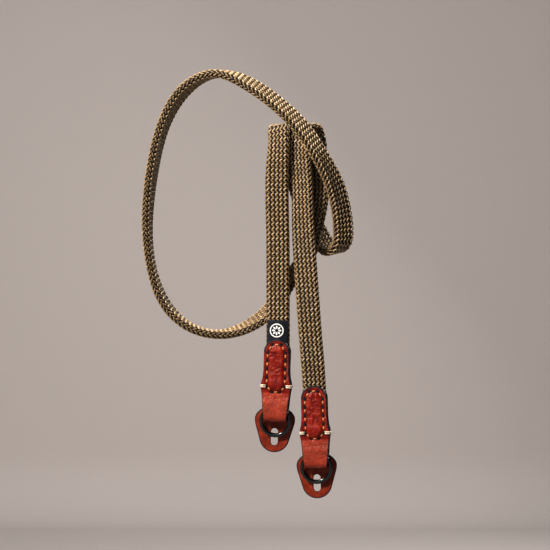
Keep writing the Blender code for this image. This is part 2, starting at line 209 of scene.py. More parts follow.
def settle_widths(points):
    """Turns the degrees of the loop rows into width directions, and fills the open ones."""
    settled = []
    for i, (place, width) in enumerate(points):
        if isinstance(width, (int, float)):
            along = points[i + 1][0] - points[i - 1][0]
            left = Vector((-along.z, 0.0, along.x)).normalized()
            turn = math.radians(width)
            width = math.cos(turn) * left + math.sin(turn) * TOWARD
        settled.append([place, width])
    for i, (place, width) in enumerate(settled):
        if width is None:
            after = min(k for k in range(i, len(settled)) if settled[k][1] is not None)
            share = 1.0 / (after - i + 1)
            settled[i][1] = settled[i - 1][1].lerp(settled[after][1], share).normalized()
    return settled


def end_point(top, lean, side):
    across, front, down = end_axes(lean, TAB_YAW)
    return top + STRAP_TUCK * down, side * across


def strap_points():
    drop_b = drop_points(DROP_B_ROWS, DROP_B, 1)
    drop_a = drop_points(DROP_A_ROWS, DROP_A, -1)
    points = [end_point(drop_b[0][0], TAB_LEAN_B, 1)]
    points += drop_b
    points += fold_points(HANG_ACROSS_B, math.radians(HANG_YAW_B), 1, HANG_SLIDE_B)
    points += bend_points(BEHIND_B_ROWS, STRAP_WIDTH, LOOP_HEIGHT)
    points += bend_points(BIG_LOOP_ROWS, LOOP_REACH, LOOP_HEIGHT)
    points += bend_points(BIGHT_ROWS, STRAP_WIDTH, BIGHT_DROP)
    points += reversed(fold_points(HANG_ACROSS_A, math.radians(HANG_YAW_A), -1, HANG_SLIDE_A))
    points += drop_a
    points.append(end_point(drop_a[-1][0], TAB_LEAN_A, -1))
    return settle_widths(points)


# %% A smooth line through the points
def spline(knots, values, places):
    """Natural cubic spline through values at knots, read at places."""
    count = len(knots)
    step = np.diff(knots)
    rise = np.diff(values, axis=0) / step[:, None]
    matrix = np.eye(count)
    right = np.zeros_like(values)
    for i in range(1, count - 1):
        matrix[i, i - 1] = step[i - 1]
        matrix[i, i] = 2 * (step[i - 1] + step[i])
        matrix[i, i + 1] = step[i]
        right[i] = 6 * (rise[i] - rise[i - 1])
    bend = np.linalg.solve(matrix, right)
    span = np.clip(np.searchsorted(knots, places, side="right") - 1, 0, count - 2)
    width = step[span][:, None]
    after = (places - knots[span])[:, None]
    before = width - after
    return (
        bend[span] * before**3 / (6 * width)
        + bend[span + 1] * after**3 / (6 * width)
        + (values[span] / width - bend[span] * width / 6) * before
        + (values[span + 1] / width - bend[span + 1] * width / 6) * after
    )


def unit(rows):
    return rows / np.linalg.norm(rows, axis=-1, keepdims=True)


ROUTE_SAMPLES = 6000


def route_table():
    """Length so far, middle, width and thickness direction along the whole strap."""
    points = strap_points()
    places = np.array([place[:] for place, _ in points])
    widths = np.array([width[:] for _, width in points])
    knots = np.concatenate(([0.0], np.cumsum(np.linalg.norm(np.diff(places, axis=0), axis=1))))
    fine = np.linspace(0.0, knots[-1], ROUTE_SAMPLES)
    middle = spline(knots, places, fine)
    width = spline(knots, widths, fine)
    along = unit(np.gradient(middle, axis=0))
    width = unit(width - (width * along).sum(axis=1)[:, None] * along)
    length = np.concatenate(([0.0], np.cumsum(np.linalg.norm(np.diff(middle, axis=0), axis=1))))
    return length, middle, width, np.cross(along, width)


LENGTHS, MIDDLES, WIDTHS, NORMALS = route_table()
STRAP_LENGTH = float(LENGTHS[-1])


def route_at(places):
    """Middle, width and thickness direction at lengths along the strap."""
    def read(table):
        return np.stack([np.interp(places, LENGTHS, table[:, k]) for k in range(3)], axis=1)

    return read(MIDDLES), unit(read(WIDTHS)), unit(read(NORMALS))


print("strap length", round(STRAP_LENGTH, 4), "m")

# %% [markdown]
# ## Mesh helpers
# Most pieces here are skins over rings of points, as a tailor's form is: a ring is one
# closed section, and neighbouring rings are joined by quads. One helper builds them all.


# %% Skin over rings, and a finished object
def new_piece(name, mesh, finish, smooth=True):
    piece = bpy.data.objects.new(name, mesh)
    bpy.context.scene.collection.objects.link(piece)
    if finish:
        mesh.materials.clear()
        mesh.materials.append(finish)
    if smooth:
        mesh.shade_smooth()
    return piece


def skin_mesh(name, rings, closed=False):
    """Quads between equal rings of points, with flat ends unless the row of rings closes."""
    rings = np.asarray(rings, dtype=float)
    count, around, _ = rings.shape
    faces = []
    for i in range(count if closed else count - 1):
        after = (i + 1) % count
        for j in range(around):
            side = (j + 1) % around
            faces.append((i * around + j, i * around + side, after * around + side,
                          after * around + j))
    if not closed:
        faces.append(tuple(reversed(range(around))))
        faces.append(tuple(range((count - 1) * around, count * around)))
    mesh = bpy.data.meshes.new(name)
    mesh.from_pydata(rings.reshape(-1, 3).tolist(), [], faces)
    bm = bmesh.new()
    bm.from_mesh(mesh)
    bmesh.ops.recalc_face_normals(bm, faces=bm.faces)
    bm.to_mesh(mesh)
    bm.free()
    return mesh


def point_value(mesh, name, values):
    """One number for each point of a mesh, for a material to read."""
    layer = mesh.attributes.new(name, "FLOAT", "POINT")
    layer.data.foreach_set("value", np.asarray(values, dtype=np.float32))


def triangles(piece):
    return sum(len(face.vertices) - 2 for face in piece.data.polygons)


# %% [markdown]
# ## Materials
# Every finish is built from nodes. Small helpers add a node, link its inputs, and pass on
# a colour or a relief, so each material below reads as a short recipe.


# %% Node helpers
def add(tree, kind, links=None, **settings):
    """A node with its settings, input values and links from other nodes' outputs."""
    node = tree.nodes.new(kind)
    for key, value in settings.items():
        setattr(node, key, value)
    for key, value in (links or {}).items():
        if isinstance(value, bpy.types.NodeSocket):
            tree.links.new(value, node.inputs[key])
        else:
            node.inputs[key].default_value = value
    return node


def maths(tree, work, *values):
    """One step of arithmetic on numbers and other nodes' outputs."""
    return add(tree, "ShaderNodeMath", dict(enumerate(values)), operation=work).outputs[0]


def point_number(tree, name):
    """A number that the mesh stores at its points."""
    return add(tree, "ShaderNodeAttribute", attribute_name=name).outputs["Fac"]


def grain(tree, scale, detail=2.0, roughness=0.5):
    """Noise in the piece's own metres; scale is how many bumps fit in a metre."""
    place = add(tree, "ShaderNodeTexCoord")
    cloud = add(tree, "ShaderNodeTexNoise", {
        "Vector": place.outputs["Object"], "Scale": scale, "Detail": detail,
        "Roughness": roughness,
    })
    return cloud.outputs["Fac"]


def ramp(tree, factor, stops):
    """A colour ramp from a few (place, colour) stops."""
    node = add(tree, "ShaderNodeValToRGB", {"Fac": factor})
    band = node.color_ramp
    while len(band.elements) < len(stops):
        band.elements.new(0.5)
    for element, (place, colour) in zip(band.elements, stops):
        element.position = place
        element.color = (*colour, 1.0)
    return node.outputs["Color"]


def toward(tree, share, colour, target):
    """A colour that moves by a share towards a fixed one."""
    return add(tree, "ShaderNodeMix", {0: share, 6: colour, 7: (*target, 1.0)},
               data_type="RGBA").outputs[2]


# %% Finish helpers
FINE_RELIEF = 0.0001


def new_finish(name, colour, roughness, **values):
    finish = bpy.data.materials.new(name)
    finish.use_nodes = True
    shader = finish.node_tree.nodes["Principled BSDF"]
    shader.inputs["Base Color"].default_value = (*colour, 1.0)
    shader.inputs["Roughness"].default_value = roughness
    for key, value in values.items():
        shader.inputs[key.replace("_", " ")].default_value = value
    return finish, finish.node_tree, shader


def paint(tree, shader, colour):
    tree.links.new(colour, shader.inputs["Base Color"])


def emboss(tree, shader, height, strength, depth=FINE_RELIEF, invert=False):
    """Relief from a height; depth is how far it goes up and down, in metres."""
    bump = add(tree, "ShaderNodeBump", {"Height": height, "Strength": strength,
                                        "Distance": depth}, invert=invert)
    tree.links.new(bump.outputs["Normal"], shader.inputs["Normal"])


# %% Strand and core finishes
YARN_CLOUDS = 900.0
PLIES = 11.0
CORE_CLOUDS = 1500.0


def strand_finish():
    """Khaki yarn: a little lighter or browner from strand to strand at random, and darker where
    painted shade is laid on a strand, with fine fibres.
    """
    finish, tree, shader = new_finish("khaki_yarn", (0.3, 0.2, 0.1), 0.55)
    mixed = maths(tree, "MULTIPLY", point_number(tree, "tone_and_shade"), grain(tree, YARN_CLOUDS))
    paint(tree, shader, ramp(tree, mixed, (
        (0.08, (0.085, 0.052, 0.022)),
        (0.24, (0.275, 0.182, 0.088)),
        (0.50, (0.560, 0.420, 0.262)),
    )))
    plies = maths(tree, "MULTIPLY", point_number(tree, "fibre"), PLIES)
    emboss(tree, shader, maths(tree, "SINE", plies), 0.5)
    return finish


def core_finish():
    """Painted shade: the near-black core that shows between the strands, where shade falls deep in
    the weave.
    """
    finish, tree, shader = new_finish("weave_shadow", (0.012, 0.009, 0.006), 0.9)
    paint(tree, shader, ramp(tree, grain(tree, CORE_CLOUDS), (
        (0.3, (0.003, 0.002, 0.001)),
        (0.8, (0.014, 0.009, 0.005)),
    )))
    return finish


KHAKI_YARN = strand_finish()
WEAVE_SHADOW = core_finish()
print("finishes", KHAKI_YARN.name, WEAVE_SHADOW.name)

# %% [markdown]
# ## The strap's core
# The weave is a hollow braid over a filling. The core is that filling: a body with round
# edges, slightly slimmer than the strap, so that strands can lie on it, painted near black
# as the shade that falls deep in the weave's gaps. It carries the strap's real length.

# %% Core
CORE_INSET = 0.00045
CORE_STEP = 0.0025
ROUND_STEPS = 5


def stadium(half_width, half_thick):
    """Points of a flat section with round edges: (across, through) pairs."""
    reach = half_width - half_thick
    points = []
    for side in (1, -1):
        for k in range(ROUND_STEPS + 1):
            angle = -math.pi / 2 + math.pi * k / ROUND_STEPS
            points.append((side * (reach + half_thick * math.cos(angle)),
                           side * half_thick * math.sin(angle)))
    return points


def section_rings(places, shape):
    middle, width, normal = route_at(places)
    across = np.array([point[0] for point in shape])
    through = np.array([point[1] for point in shape])
    return (middle[:, None] + width[:, None] * across[None, :, None]
            + normal[:, None] * through[None, :, None])


core_places = np.linspace(0.0, STRAP_LENGTH, round(STRAP_LENGTH / CORE_STEP) + 1)
core_shape = stadium(STRAP_WIDTH / 2 - CORE_INSET, STRAP_THICK / 2 - CORE_INSET)
core = new_piece("strap_core", skin_mesh("strap_core", section_rings(core_places, core_shape)),
                 WEAVE_SHADOW)
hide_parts("strap")
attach(core, "root")
core_path = route_at(core_places)[0]
print("core", triangles(core), "triangles")

# %% [markdown]
# ## One tree for everything that is woven or sewn
# The weave, the stitches and their holes are all the same idea: many small rounded
# strands, each lying on a surface in its own direction; a hole is a flat near-black strand
# of painted shade. So each is a set of seats, points that carry a direction along, a
# direction up, a reach and a share of painted light. One Geometry Nodes tree puts a
# strand on every seat, and named inputs set how wide and how high the strands are.


# %% The shape of one strand
FULLNESS = 0.5
BALL_RADIUS = 0.5
BALL_RINGS = 6
BALL_SIDES = 6
NEAR_AXIS = 0.01


def strand_shape(tree, around):
    """A ball made fuller towards its ends, laid along X, that knows its fibres' sides."""
    ball = add(tree, "GeometryNodeMeshUVSphere", {"Segments": around, "Rings": BALL_RINGS,
                                                  "Radius": BALL_RADIUS}).outputs["Mesh"]
    spot = add(tree, "GeometryNodeInputPosition").outputs["Position"]
    side = add(tree, "ShaderNodeSeparateXYZ", {"Vector": spot}).outputs
    flat = add(tree, "ShaderNodeCombineXYZ", {"X": side["X"], "Y": side["Y"]}).outputs["Vector"]
    away = add(tree, "ShaderNodeVectorMath", {0: flat}, operation="LENGTH").outputs["Value"]
    share = maths(tree, "MULTIPLY", maths(tree, "MAXIMUM", away, NEAR_AXIS), 1 / BALL_RADIUS)
    fuller = maths(tree, "POWER", share, -FULLNESS)
    wider = add(tree, "ShaderNodeVectorMath", {0: flat, "Scale": fuller},
                operation="SCALE").outputs["Vector"]
    ends = add(tree, "ShaderNodeCombineXYZ", {"Z": side["Z"]}).outputs["Vector"]
    shape = add(tree, "ShaderNodeVectorMath", {0: wider, 1: ends}, operation="ADD").outputs["Vector"]
    capsule = add(tree, "GeometryNodeSetPosition",
                  {"Geometry": ball, "Position": shape}).outputs["Geometry"]
    fibre = add(tree, "GeometryNodeStoreNamedAttribute",
                {"Geometry": capsule, "Name": "fibre", "Value": side["X"]},
                data_type="FLOAT", domain="POINT").outputs["Geometry"]
    smooth = add(tree, "GeometryNodeSetShadeSmooth", {"Geometry": fibre}).outputs["Geometry"]
    return add(tree, "GeometryNodeTransform", {
        "Geometry": smooth, "Rotation": (0.0, math.pi / 2, 0.0),
    }).outputs["Geometry"]


# %% The strand tree
DARKEST_STRAND = 0.6
TREE_INPUTS = (
    ("Geometry", "NodeSocketGeometry"),
    ("Strand Width", "NodeSocketFloat"),
    ("Strand Height", "NodeSocketFloat"),
    ("Around", "NodeSocketInt"),
    ("Seed", "NodeSocketInt"),
    ("Finish", "NodeSocketMaterial"),
)


def strand_tree():
    tree = bpy.data.node_groups.new("lay_strands", "GeometryNodeTree")
    for title, kind in TREE_INPUTS:
        tree.interface.new_socket(title, in_out="INPUT", socket_type=kind)
    tree.interface.new_socket("Geometry", in_out="OUTPUT", socket_type="NodeSocketGeometry")
    given = add(tree, "NodeGroupInput").outputs

    def seat(name, kind):
        return add(tree, "GeometryNodeInputNamedAttribute", {"Name": name},
                   data_type=kind).outputs["Attribute"]

    turn = add(tree, "FunctionNodeAxesToRotation", {
        "Primary Axis": seat("up", "FLOAT_VECTOR"), "Secondary Axis": seat("along", "FLOAT_VECTOR"),
    }, primary_axis="Z", secondary_axis="X").outputs["Rotation"]
    size = add(tree, "ShaderNodeCombineXYZ", {
        "X": seat("reach", "FLOAT"), "Y": given["Strand Width"], "Z": given["Strand Height"],
    }).outputs["Vector"]
    # Each strand's colour share is a random share times its seat's share of painted light.
    chance = add(tree, "FunctionNodeRandomValue", {"Seed": given["Seed"]}, data_type="FLOAT")
    chance.inputs[2].default_value = DARKEST_STRAND
    tone_and_shade = maths(tree, "MULTIPLY", chance.outputs[1], seat("lit_share", "FLOAT"))
    toned = add(tree, "GeometryNodeStoreNamedAttribute",
                {"Geometry": given["Geometry"], "Name": "tone_and_shade", "Value": tone_and_shade},
                data_type="FLOAT", domain="POINT").outputs["Geometry"]
    laid = add(tree, "GeometryNodeInstanceOnPoints", {
        "Points": toned, "Instance": strand_shape(tree, given["Around"]), "Rotation": turn,
        "Scale": size,
    }).outputs["Instances"]
    real = add(tree, "GeometryNodeRealizeInstances", {"Geometry": laid}).outputs["Geometry"]
    done = add(tree, "GeometryNodeSetMaterial", {"Geometry": real, "Material": given["Finish"]})
    add(tree, "NodeGroupOutput", {"Geometry": done.outputs["Geometry"]})
    return tree


STRANDS = strand_tree()
print("strand tree", len(STRANDS.nodes), "nodes")


# %% Strands on their seats
SEED = 7


def lay_strands(name, seats, width, height, finish, around=BALL_SIDES, seed=SEED):
    """One plain mesh of strands, one on each seat: (place, along, up, reach, share of painted
    light).
    """
    mesh = bpy.data.meshes.new(name)
    mesh.from_pydata([tuple(seat[0]) for seat in seats], [], [])
    for column, title in enumerate(("along", "up"), start=1):
        layer = mesh.attributes.new(title, "FLOAT_VECTOR", "POINT")
        flat = np.array([tuple(seat[column]) for seat in seats], dtype=np.float32)
        layer.data.foreach_set("vector", flat.ravel())
    point_value(mesh, "reach", [seat[3] for seat in seats])
    point_value(mesh, "lit_share", [seat[4] for seat in seats])
    maker = new_piece(name + "_seats", mesh, None, smooth=False)
    work = maker.modifiers.new("strands", "NODES")
    work.node_group = STRANDS
    values = {"Strand Width": width, "Strand Height": height, "Around": around, "Seed": seed,
              "Finish": finish}
    for item in STRANDS.interface.items_tree:
        if item.in_out == "INPUT" and item.name in values:
            work[item.identifier] = values[item.name]
    seen = bpy.context.evaluated_depsgraph_get()
    plain = bpy.data.meshes.new_from_object(maker.evaluated_get(seen),
                                            preserve_all_data_layers=True, depsgraph=seen)
    bpy.data.objects.remove(maker, do_unlink=True)
    plain.name = name
    piece = new_piece(name, plain, None, smooth=False)
    print(name, len(seats), "strands,", triangles(piece), "triangles")
    return piece


# %% [markdown]
# ## The weave
# Seen close up, each face shows five zigzag lines that run its length, side by side. Each
# line is a row of short strands that lean left and right in turn; those that lean one way
# are painted darker as shade, for light from the upper left. Each edge has two lines whose
# strands all lean to its middle, like a row of arrowheads, and they are painted darker as shade.

# %% Weave lines
WEAVE_PITCH = 0.00156
LINES_ON_FACE = 5
EDGE_SHARE = 0.049
FACE_SHARE = 0.1 - 0.4 * EDGE_SHARE
LINE_SHARES = ([EDGE_SHARE] + [FACE_SHARE] * LINES_ON_FACE + [EDGE_SHARE]) * 2
FRONT_LINES = (1, 2, 3, 4, 5)
BACK_LINES = (8, 9, 10, 11, 12)
INWARD_LINES = (6, 13)
OUTWARD_LINES = (7, 0)
SEAT_DEPTH = 0.00042


def outline_walk(half_width, half_thick, shares):
    """Points and outward directions round a flat section, from the middle of one edge."""
    flat = 2 * (half_width - half_thick)
    bend = math.pi * half_thick
    whole = 2 * (flat + bend)
    spots = []
    for share in shares:
        walk = (share % 1.0) * whole
        side = 1
        if walk >= whole / 2:
            walk -= whole / 2
            side = -1
        if walk < bend / 2:
            angle = walk / half_thick
            across = -flat / 2 - half_thick * math.cos(angle)
            spot = (across, half_thick * math.sin(angle), -math.cos(angle), math.sin(angle))
        elif walk < bend / 2 + flat:
            spot = (walk - bend / 2 - flat / 2, half_thick, 0.0, 1.0)
        else:
            angle = (walk - bend / 2 - flat) / half_thick
            across = flat / 2 + half_thick * math.sin(angle)
            spot = (across, half_thick * math.cos(angle), math.sin(angle), math.cos(angle))
        spots.append(tuple(side * value for value in spot))
    return np.array(spots)


def weave_spots(rows, shares):
    """Places and outward directions on the strap: one for each row and share of its girth."""
    middle, width, normal = route_at(np.asarray(rows) * WEAVE_PITCH)
    spots = outline_walk(STRAP_WIDTH / 2 - SEAT_DEPTH, STRAP_THICK / 2 - SEAT_DEPTH, shares)
    places = (middle[:, None] + width[:, None] * spots[None, :, 0, None]
              + normal[:, None] * spots[None, :, 1, None])
    outward = width[:, None] * spots[None, :, 2, None] + normal[:, None] * spots[None, :, 3, None]
    return places, outward


ROWS = int(STRAP_LENGTH / WEAVE_PITCH)
print("weave", ROWS, "rows of", len(LINE_SHARES), "lines")

# %% Weave strands
STRAND_WIDTH = 0.00118
STRAND_HEIGHT = 0.00100
STRAND_OVERLAP = 0.35
LEAN_SHARE = 0.70
EDGE_LEAN_SHARE = 0.92
FACE_STEP = 1.0
EDGE_STEP = 1.45
EDGE_SINK = 0.3
# Painted shade, as shares of full brightness: for the strands that lean one way, and for the edge
# strands.
SHADED_LEAN_SHARE = 0.55
SHADED_EDGE_SHARE = 0.5


def strand_seats(rows, step, lines, lean, sink, lit_share):
    """Seats of strands that cross their lines by lean (a share, with sign) over step rows."""
    widths = np.array([LINE_SHARES[line] for line in lines])
    centres = np.array([sum(LINE_SHARES[:line]) for line in lines]) + widths / 2
    start, _ = weave_spots(rows, centres - widths * lean / 2)
    stop, _ = weave_spots(rows + step, centres + widths * lean / 2)
    on_top, up = weave_spots(rows + step / 2, centres)
    reach = stop - start
    size = np.linalg.norm(reach, axis=2, keepdims=True)
    place = on_top * (1 - sink) + (start + stop) / 2 * sink
    seats = []
    for i in range(len(rows)):
        for j in range(len(lines)):
            seats.append((place[i, j], reach[i, j] / size[i, j], up[i, j],
                          float(size[i, j, 0]) + STRAND_WIDTH * STRAND_OVERLAP, lit_share))
    return seats


def weave_seats(first, last):
    """Seats of the strands between two rows of the weave."""
    rows = np.arange(first, last, dtype=float)
    even, odd = rows[rows % 2 == 0], rows[rows % 2 == 1]
    # The last number is the strands' share of painted light: those that lean one way and those on
    # the edges are painted darker as shade.
    seats = strand_seats(odd, FACE_STEP, FRONT_LINES, -LEAN_SHARE, 0.0, 1.0)
    seats += strand_seats(even, FACE_STEP, FRONT_LINES, LEAN_SHARE, 0.0, SHADED_LEAN_SHARE)
    seats += strand_seats(even, FACE_STEP, BACK_LINES, -LEAN_SHARE, 0.0, 1.0)
    seats += strand_seats(odd, FACE_STEP, BACK_LINES, LEAN_SHARE, 0.0, SHADED_LEAN_SHARE)
    seats += strand_seats(even, EDGE_STEP, INWARD_LINES, EDGE_LEAN_SHARE, EDGE_SINK, SHADED_EDGE_SHARE)
    seats += strand_seats(odd, EDGE_STEP, OUTWARD_LINES, -EDGE_LEAN_SHARE, EDGE_SINK, SHADED_EDGE_SHARE)
    return seats


# %% Weave, in three pieces
BRAID_LETTERS = "abc"
FIRST_SEED = 3
for part, letter in enumerate(BRAID_LETTERS):
    first = ROWS * part // len(BRAID_LETTERS)
    last = ROWS * (part + 1) // len(BRAID_LETTERS)
    braid = lay_strands("strap_weave_" + letter, weave_seats(first, last), STRAND_WIDTH,
                        STRAND_HEIGHT, KHAKI_YARN, seed=FIRST_SEED + part)
    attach(braid, "root")

# %% [markdown]
# ## Leather
# The tabs are glossy red-brown leather with pebbles under a millimetre wide. Painted shade
# deepens the red in the creases and along the stitches, and a painted highlight makes it
# lighter and pinker where it bends out towards the fold. The edges are painted black, lifted
# a little towards blue-grey as painted sheen. The guards are the same leather, darker and
# less shiny.


# %% Leather finishes
LEATHER_CLOUDS = 170.0
PEBBLES = 1500.0
FINE_PEBBLES = 700.0
PEBBLE_DEPTH = 0.00035
# Painted highlight colour where the tab bends out towards the fold.
BEND_HIGHLIGHT_COLOUR = (0.430, 0.095, 0.045)
# Painted shade colour for the creases and the stitch groove.
CREASE_SHADE_COLOUR = (0.070, 0.002, 0.001)
# Black edge paint, lifted a little towards blue-grey as painted sheen.
RIM_PAINT_AND_SHEEN = (0.014, 0.016, 0.022)


def leather_finish(name, stops, roughness, relief, coat):
    """Leather with cloudy colour, pebbles, painted shade in its creases, a painted highlight where
    it bends, and a black painted rim lifted by painted sheen.
    """
    finish, tree, shader = new_finish(name, stops[1][1], roughness, Coat_Weight=coat,
                                      Coat_Roughness=0.25, Specular_IOR_Level=0.22)
    colour = ramp(tree, grain(tree, LEATHER_CLOUDS, 4.0, 0.6), stops)
    # Painted highlight where the leather bends towards the fold, painted shade in the creases and
    # the stitch groove, and the rim's black paint with painted sheen.
    colour = toward(tree, point_number(tree, "bend_highlight"), colour, BEND_HIGHLIGHT_COLOUR)
    colour = toward(tree, point_number(tree, "crease_shade"), colour, CREASE_SHADE_COLOUR)
    paint(tree, shader, toward(tree, point_number(tree, "rim"), colour, RIM_PAINT_AND_SHEEN))
    place = add(tree, "ShaderNodeTexCoord").outputs["Object"]
    pebble = add(tree, "ShaderNodeTexVoronoi", {"Vector": place, "Scale": PEBBLES},
                 feature="SMOOTH_F1")
    pebble.inputs["Smoothness"].default_value = 0.6
    height = maths(tree, "ADD", pebble.outputs["Distance"], grain(tree, FINE_PEBBLES, 3.0))
    emboss(tree, shader, height, relief, PEBBLE_DEPTH, invert=True)
    return finish


TAB_LEATHER = leather_finish("red_leather", (
    (0.25, (0.105, 0.003, 0.001)),
    (0.50, (0.240, 0.013, 0.005)),
    (0.78, (0.480, 0.065, 0.028)),
), 0.38, 0.60, 0.10)
GUARD_LEATHER = leather_finish("brown_leather", (
    (0.25, (0.095, 0.008, 0.002)),
    (0.50, (0.205, 0.024, 0.006)),
    (0.78, (0.360, 0.060, 0.018)),
), 0.50, 0.40, 0.0)
print("finishes", TAB_LEATHER.name, GUARD_LEATHER.name)

# %% [markdown]
# ## Leather tabs
# A tab is one strip of leather, folded through the ring, with the strap's end sewn between
# its two layers. The strip is a skin over rings: each ring is the strip's own section, a
# slim slab with soft edges, and the rings follow the strip down the front, round the fold
# and up the back. The front is then raised and creased inside its line of stitches.

# %% Sizes of a strap end
GAP = 0.0003
TAB_LENGTH = 0.0523
TAB_WIDTH = 0.0163
TAB_THICK = 0.0020
TAB_EDGE = 0.0006
LABEL_THICK = 0.0006
RING_DIAMETER = 0.0205
WIRE_HEIGHT = 0.0023
WIRE_DEPTH = 0.0013
RING_TILT_ROOM = 0.0006
RING_FOOT_ROOM = 0.0006
RING_BELOW_FOLD_A = 0.0001
RING_BELOW_FOLD_B = 0.0003
STRAP_CLEAR = STRAP_THICK / 2 + GAP + TAB_THICK / 2
RING_DEPTH = 2 * WIRE_DEPTH + GAP
RING_CLEAR = RING_DEPTH / 2 + RING_TILT_ROOM + GAP + TAB_THICK / 2
GUARD_FACE = max(STRAP_CLEAR, RING_CLEAR) + TAB_THICK / 2 + GAP

Side = namedtuple("Side", "along strap ring label")
TAB_FRONT = (
    Side(0.000, 1.00, 0.00, 1.00),
    Side(0.110, 1.00, 0.00, 1.00),
    Side(0.220, 1.00, 0.00, 0.25),
    Side(0.320, 1.00, 0.00, 0.00),
    Side(0.560, 1.00, 0.00, 0.00),
    Side(0.645, 0.52, 0.05, 0.00),
    Side(0.710, 0.16, 0.60, 0.00),
    Side(0.780, 0.00, 1.00, 0.00),
    Side(0.860, 0.00, 1.00, 0.00),
)
Outline = namedtuple("Outline", "along width")
TAB_OUTLINE = (
    Outline(0.160, 1.00),
    Outline(0.380, 1.00),
    Outline(0.470, 1.05),
    Outline(0.535, 1.16),
    Outline(0.585, 1.18),
    Outline(0.640, 1.13),
    Outline(0.720, 1.07),
    Outline(0.860, 0.99),
    Outline(1.000, 0.87),
)

# %% Where the stitches go: across and down from the tab's top, in metres
STITCH_HOLES = (
    (-0.0028, 0.0034), (0.0028, 0.0034), (0.0056, 0.0084), (0.0057, 0.0135),
    (0.0057, 0.0188), (0.0057, 0.0242), (0.0058, 0.0296), (0.0025, 0.0333),
    (-0.0025, 0.0333), (-0.0058, 0.0296), (-0.0057, 0.0242), (-0.0057, 0.0188),
    (-0.0057, 0.0135), (-0.0056, 0.0084),
)


def read_table(rows, along, column):
    return float(np.interp(along, [row.along for row in rows],
                           [getattr(row, column) for row in rows]))


def tab_half_width(depth):
    radius = TAB_WIDTH / 2
    if depth < radius:
        return math.sqrt(max(radius**2 - (radius - depth) ** 2, 0.0))
    return radius * read_table(TAB_OUTLINE, depth / TAB_LENGTH, "width")


def tab_stand_off(depth, label_lift):
    along = depth / TAB_LENGTH
    lift = read_table(TAB_FRONT, along, "label") * label_lift * (LABEL_THICK + GAP)
    return (read_table(TAB_FRONT, along, "strap") * STRAP_CLEAR
            + read_table(TAB_FRONT, along, "ring") * RING_CLEAR + lift)


ARCH_TURNS = (0.10, 1.40)
ARCH_ROWS = 14
ROW_STEP = 0.0006
FOLD_ROWS = 16


def tab_path(label_lift):
    """(depth, stand-off) rows of the strip, down the front, round the fold and up the back."""
    fold_start = TAB_LENGTH - RING_CLEAR - TAB_THICK / 2
    arch = [TAB_WIDTH / 2 * (1 - math.cos(turn)) for turn in np.linspace(*ARCH_TURNS, ARCH_ROWS)]
    walls = arch + list(np.arange(arch[-1] + ROW_STEP, fold_start, ROW_STEP))
    places = [(depth, tab_stand_off(depth, label_lift)) for depth in walls]
    for step in range(1, FOLD_ROWS):
        angle = math.pi * step / FOLD_ROWS
        places.append((fold_start + RING_CLEAR * math.sin(angle), RING_CLEAR * math.cos(angle)))
    places += [(depth, -tab_stand_off(depth, 0.0)) for depth in reversed(walls)]
    return np.array(places)


# %% The relief of the stitched panel
GROOVE_WIDTH = 0.0008
GROOVE_DEPTH = 0.00035
# Painted shade in the groove along the stitches.
GROOVE_SHADE = 0.35
SWELL_WIDTH = 0.0026
SWELL_HEIGHT = 0.00095
CREASE_FROM = 0.50
# Painted shade in the panel's creases.
PANEL_CREASE_SHADE = 0.6
SMOOTH_FROM = 0.0235
SMOOTH_WITHIN = 0.003
SMOOTH_SHARE = 0.85
PIT_WIDTH = 0.00100
PIT_DEPTH = 0.00045
PIT_REACH = 3.0
CREASES_ACROSS = 190.0
CREASES_DOWN = 470.0
SWAYS = 400.0
SWAY_SIZE = 60.0
FINE_SCALE = 2.1
FINE_SHIFT = Vector((7.0, 3.0, 1.0))
RIDGE_SHARE = 0.65
FINE_SHARE = 0.35


def clamp(value):
    return min(max(value, 0.0), 1.0)


def ease(share):
    """A share that starts and stops gently."""
    return share * share * (3 - 2 * share)


def near_stitches(u, v):
    """Distance to the line of stitches, and which side of it: inside is more than nothing."""
    best = 1.0
    inside = False
    count = len(STITCH_HOLES)
    for k in range(count):
        a, b = STITCH_HOLES[k], STITCH_HOLES[(k + 1) % count]
        du, dv = b[0] - a[0], b[1] - a[1]
        share = clamp(((u - a[0]) * du + (v - a[1]) * dv) / (du * du + dv * dv))
        best = min(best, math.hypot(u - a[0] - share * du, v - a[1] - share * dv))
        if (a[1] > v) != (b[1] > v) and u < a[0] + (v - a[1]) * du / dv:
            inside = not inside
    return best if inside else -best


def fold_noise(u, v, seed):
    """Creases that run mostly across the tab and sway a little: 1 along a fold line, 0 beside it."""
    sway = SWAY_SIZE * u * math.sin(v * SWAYS)
    spot = Vector((u * CREASES_ACROSS, v * CREASES_DOWN + sway, seed))
    ridge = 1.0 - abs(noise.noise(spot))
    fine = 1.0 - abs(noise.noise(spot * FINE_SCALE + FINE_SHIFT))
    return RIDGE_SHARE * ridge**4 + FINE_SHARE * fine**4


# %% The creases where the leather bends to the fold
BEND_FROM = 0.034
BEND_WITHIN = 0.003
BEND_DEPTH = 0.00070
BEND_LENGTH = 0.012
BEND_LEAST = 0.15
# Painted shade in the creases below the panel.
BEND_CREASE_SHADE = 0.4
BEND_SEED = 20.0
BEND_SCALE = (1.2, 0.9)


def bend_creases(u, v, seed):
    """Depth of the folds below the panel, and how much painted shade they get."""
    share = min((v - BEND_FROM) / BEND_WITHIN, 1.0)
    fold = fold_noise(u * BEND_SCALE[0], v * BEND_SCALE[1], seed + BEND_SEED)
    fade = max(1.0 - (v - BEND_FROM) / BEND_LENGTH, BEND_LEAST)
    dark = BEND_CREASE_SHADE * share * max(fold - CREASE_FROM, 0.0) / (1 - CREASE_FROM)
    return BEND_DEPTH * share * fold * fade, dark


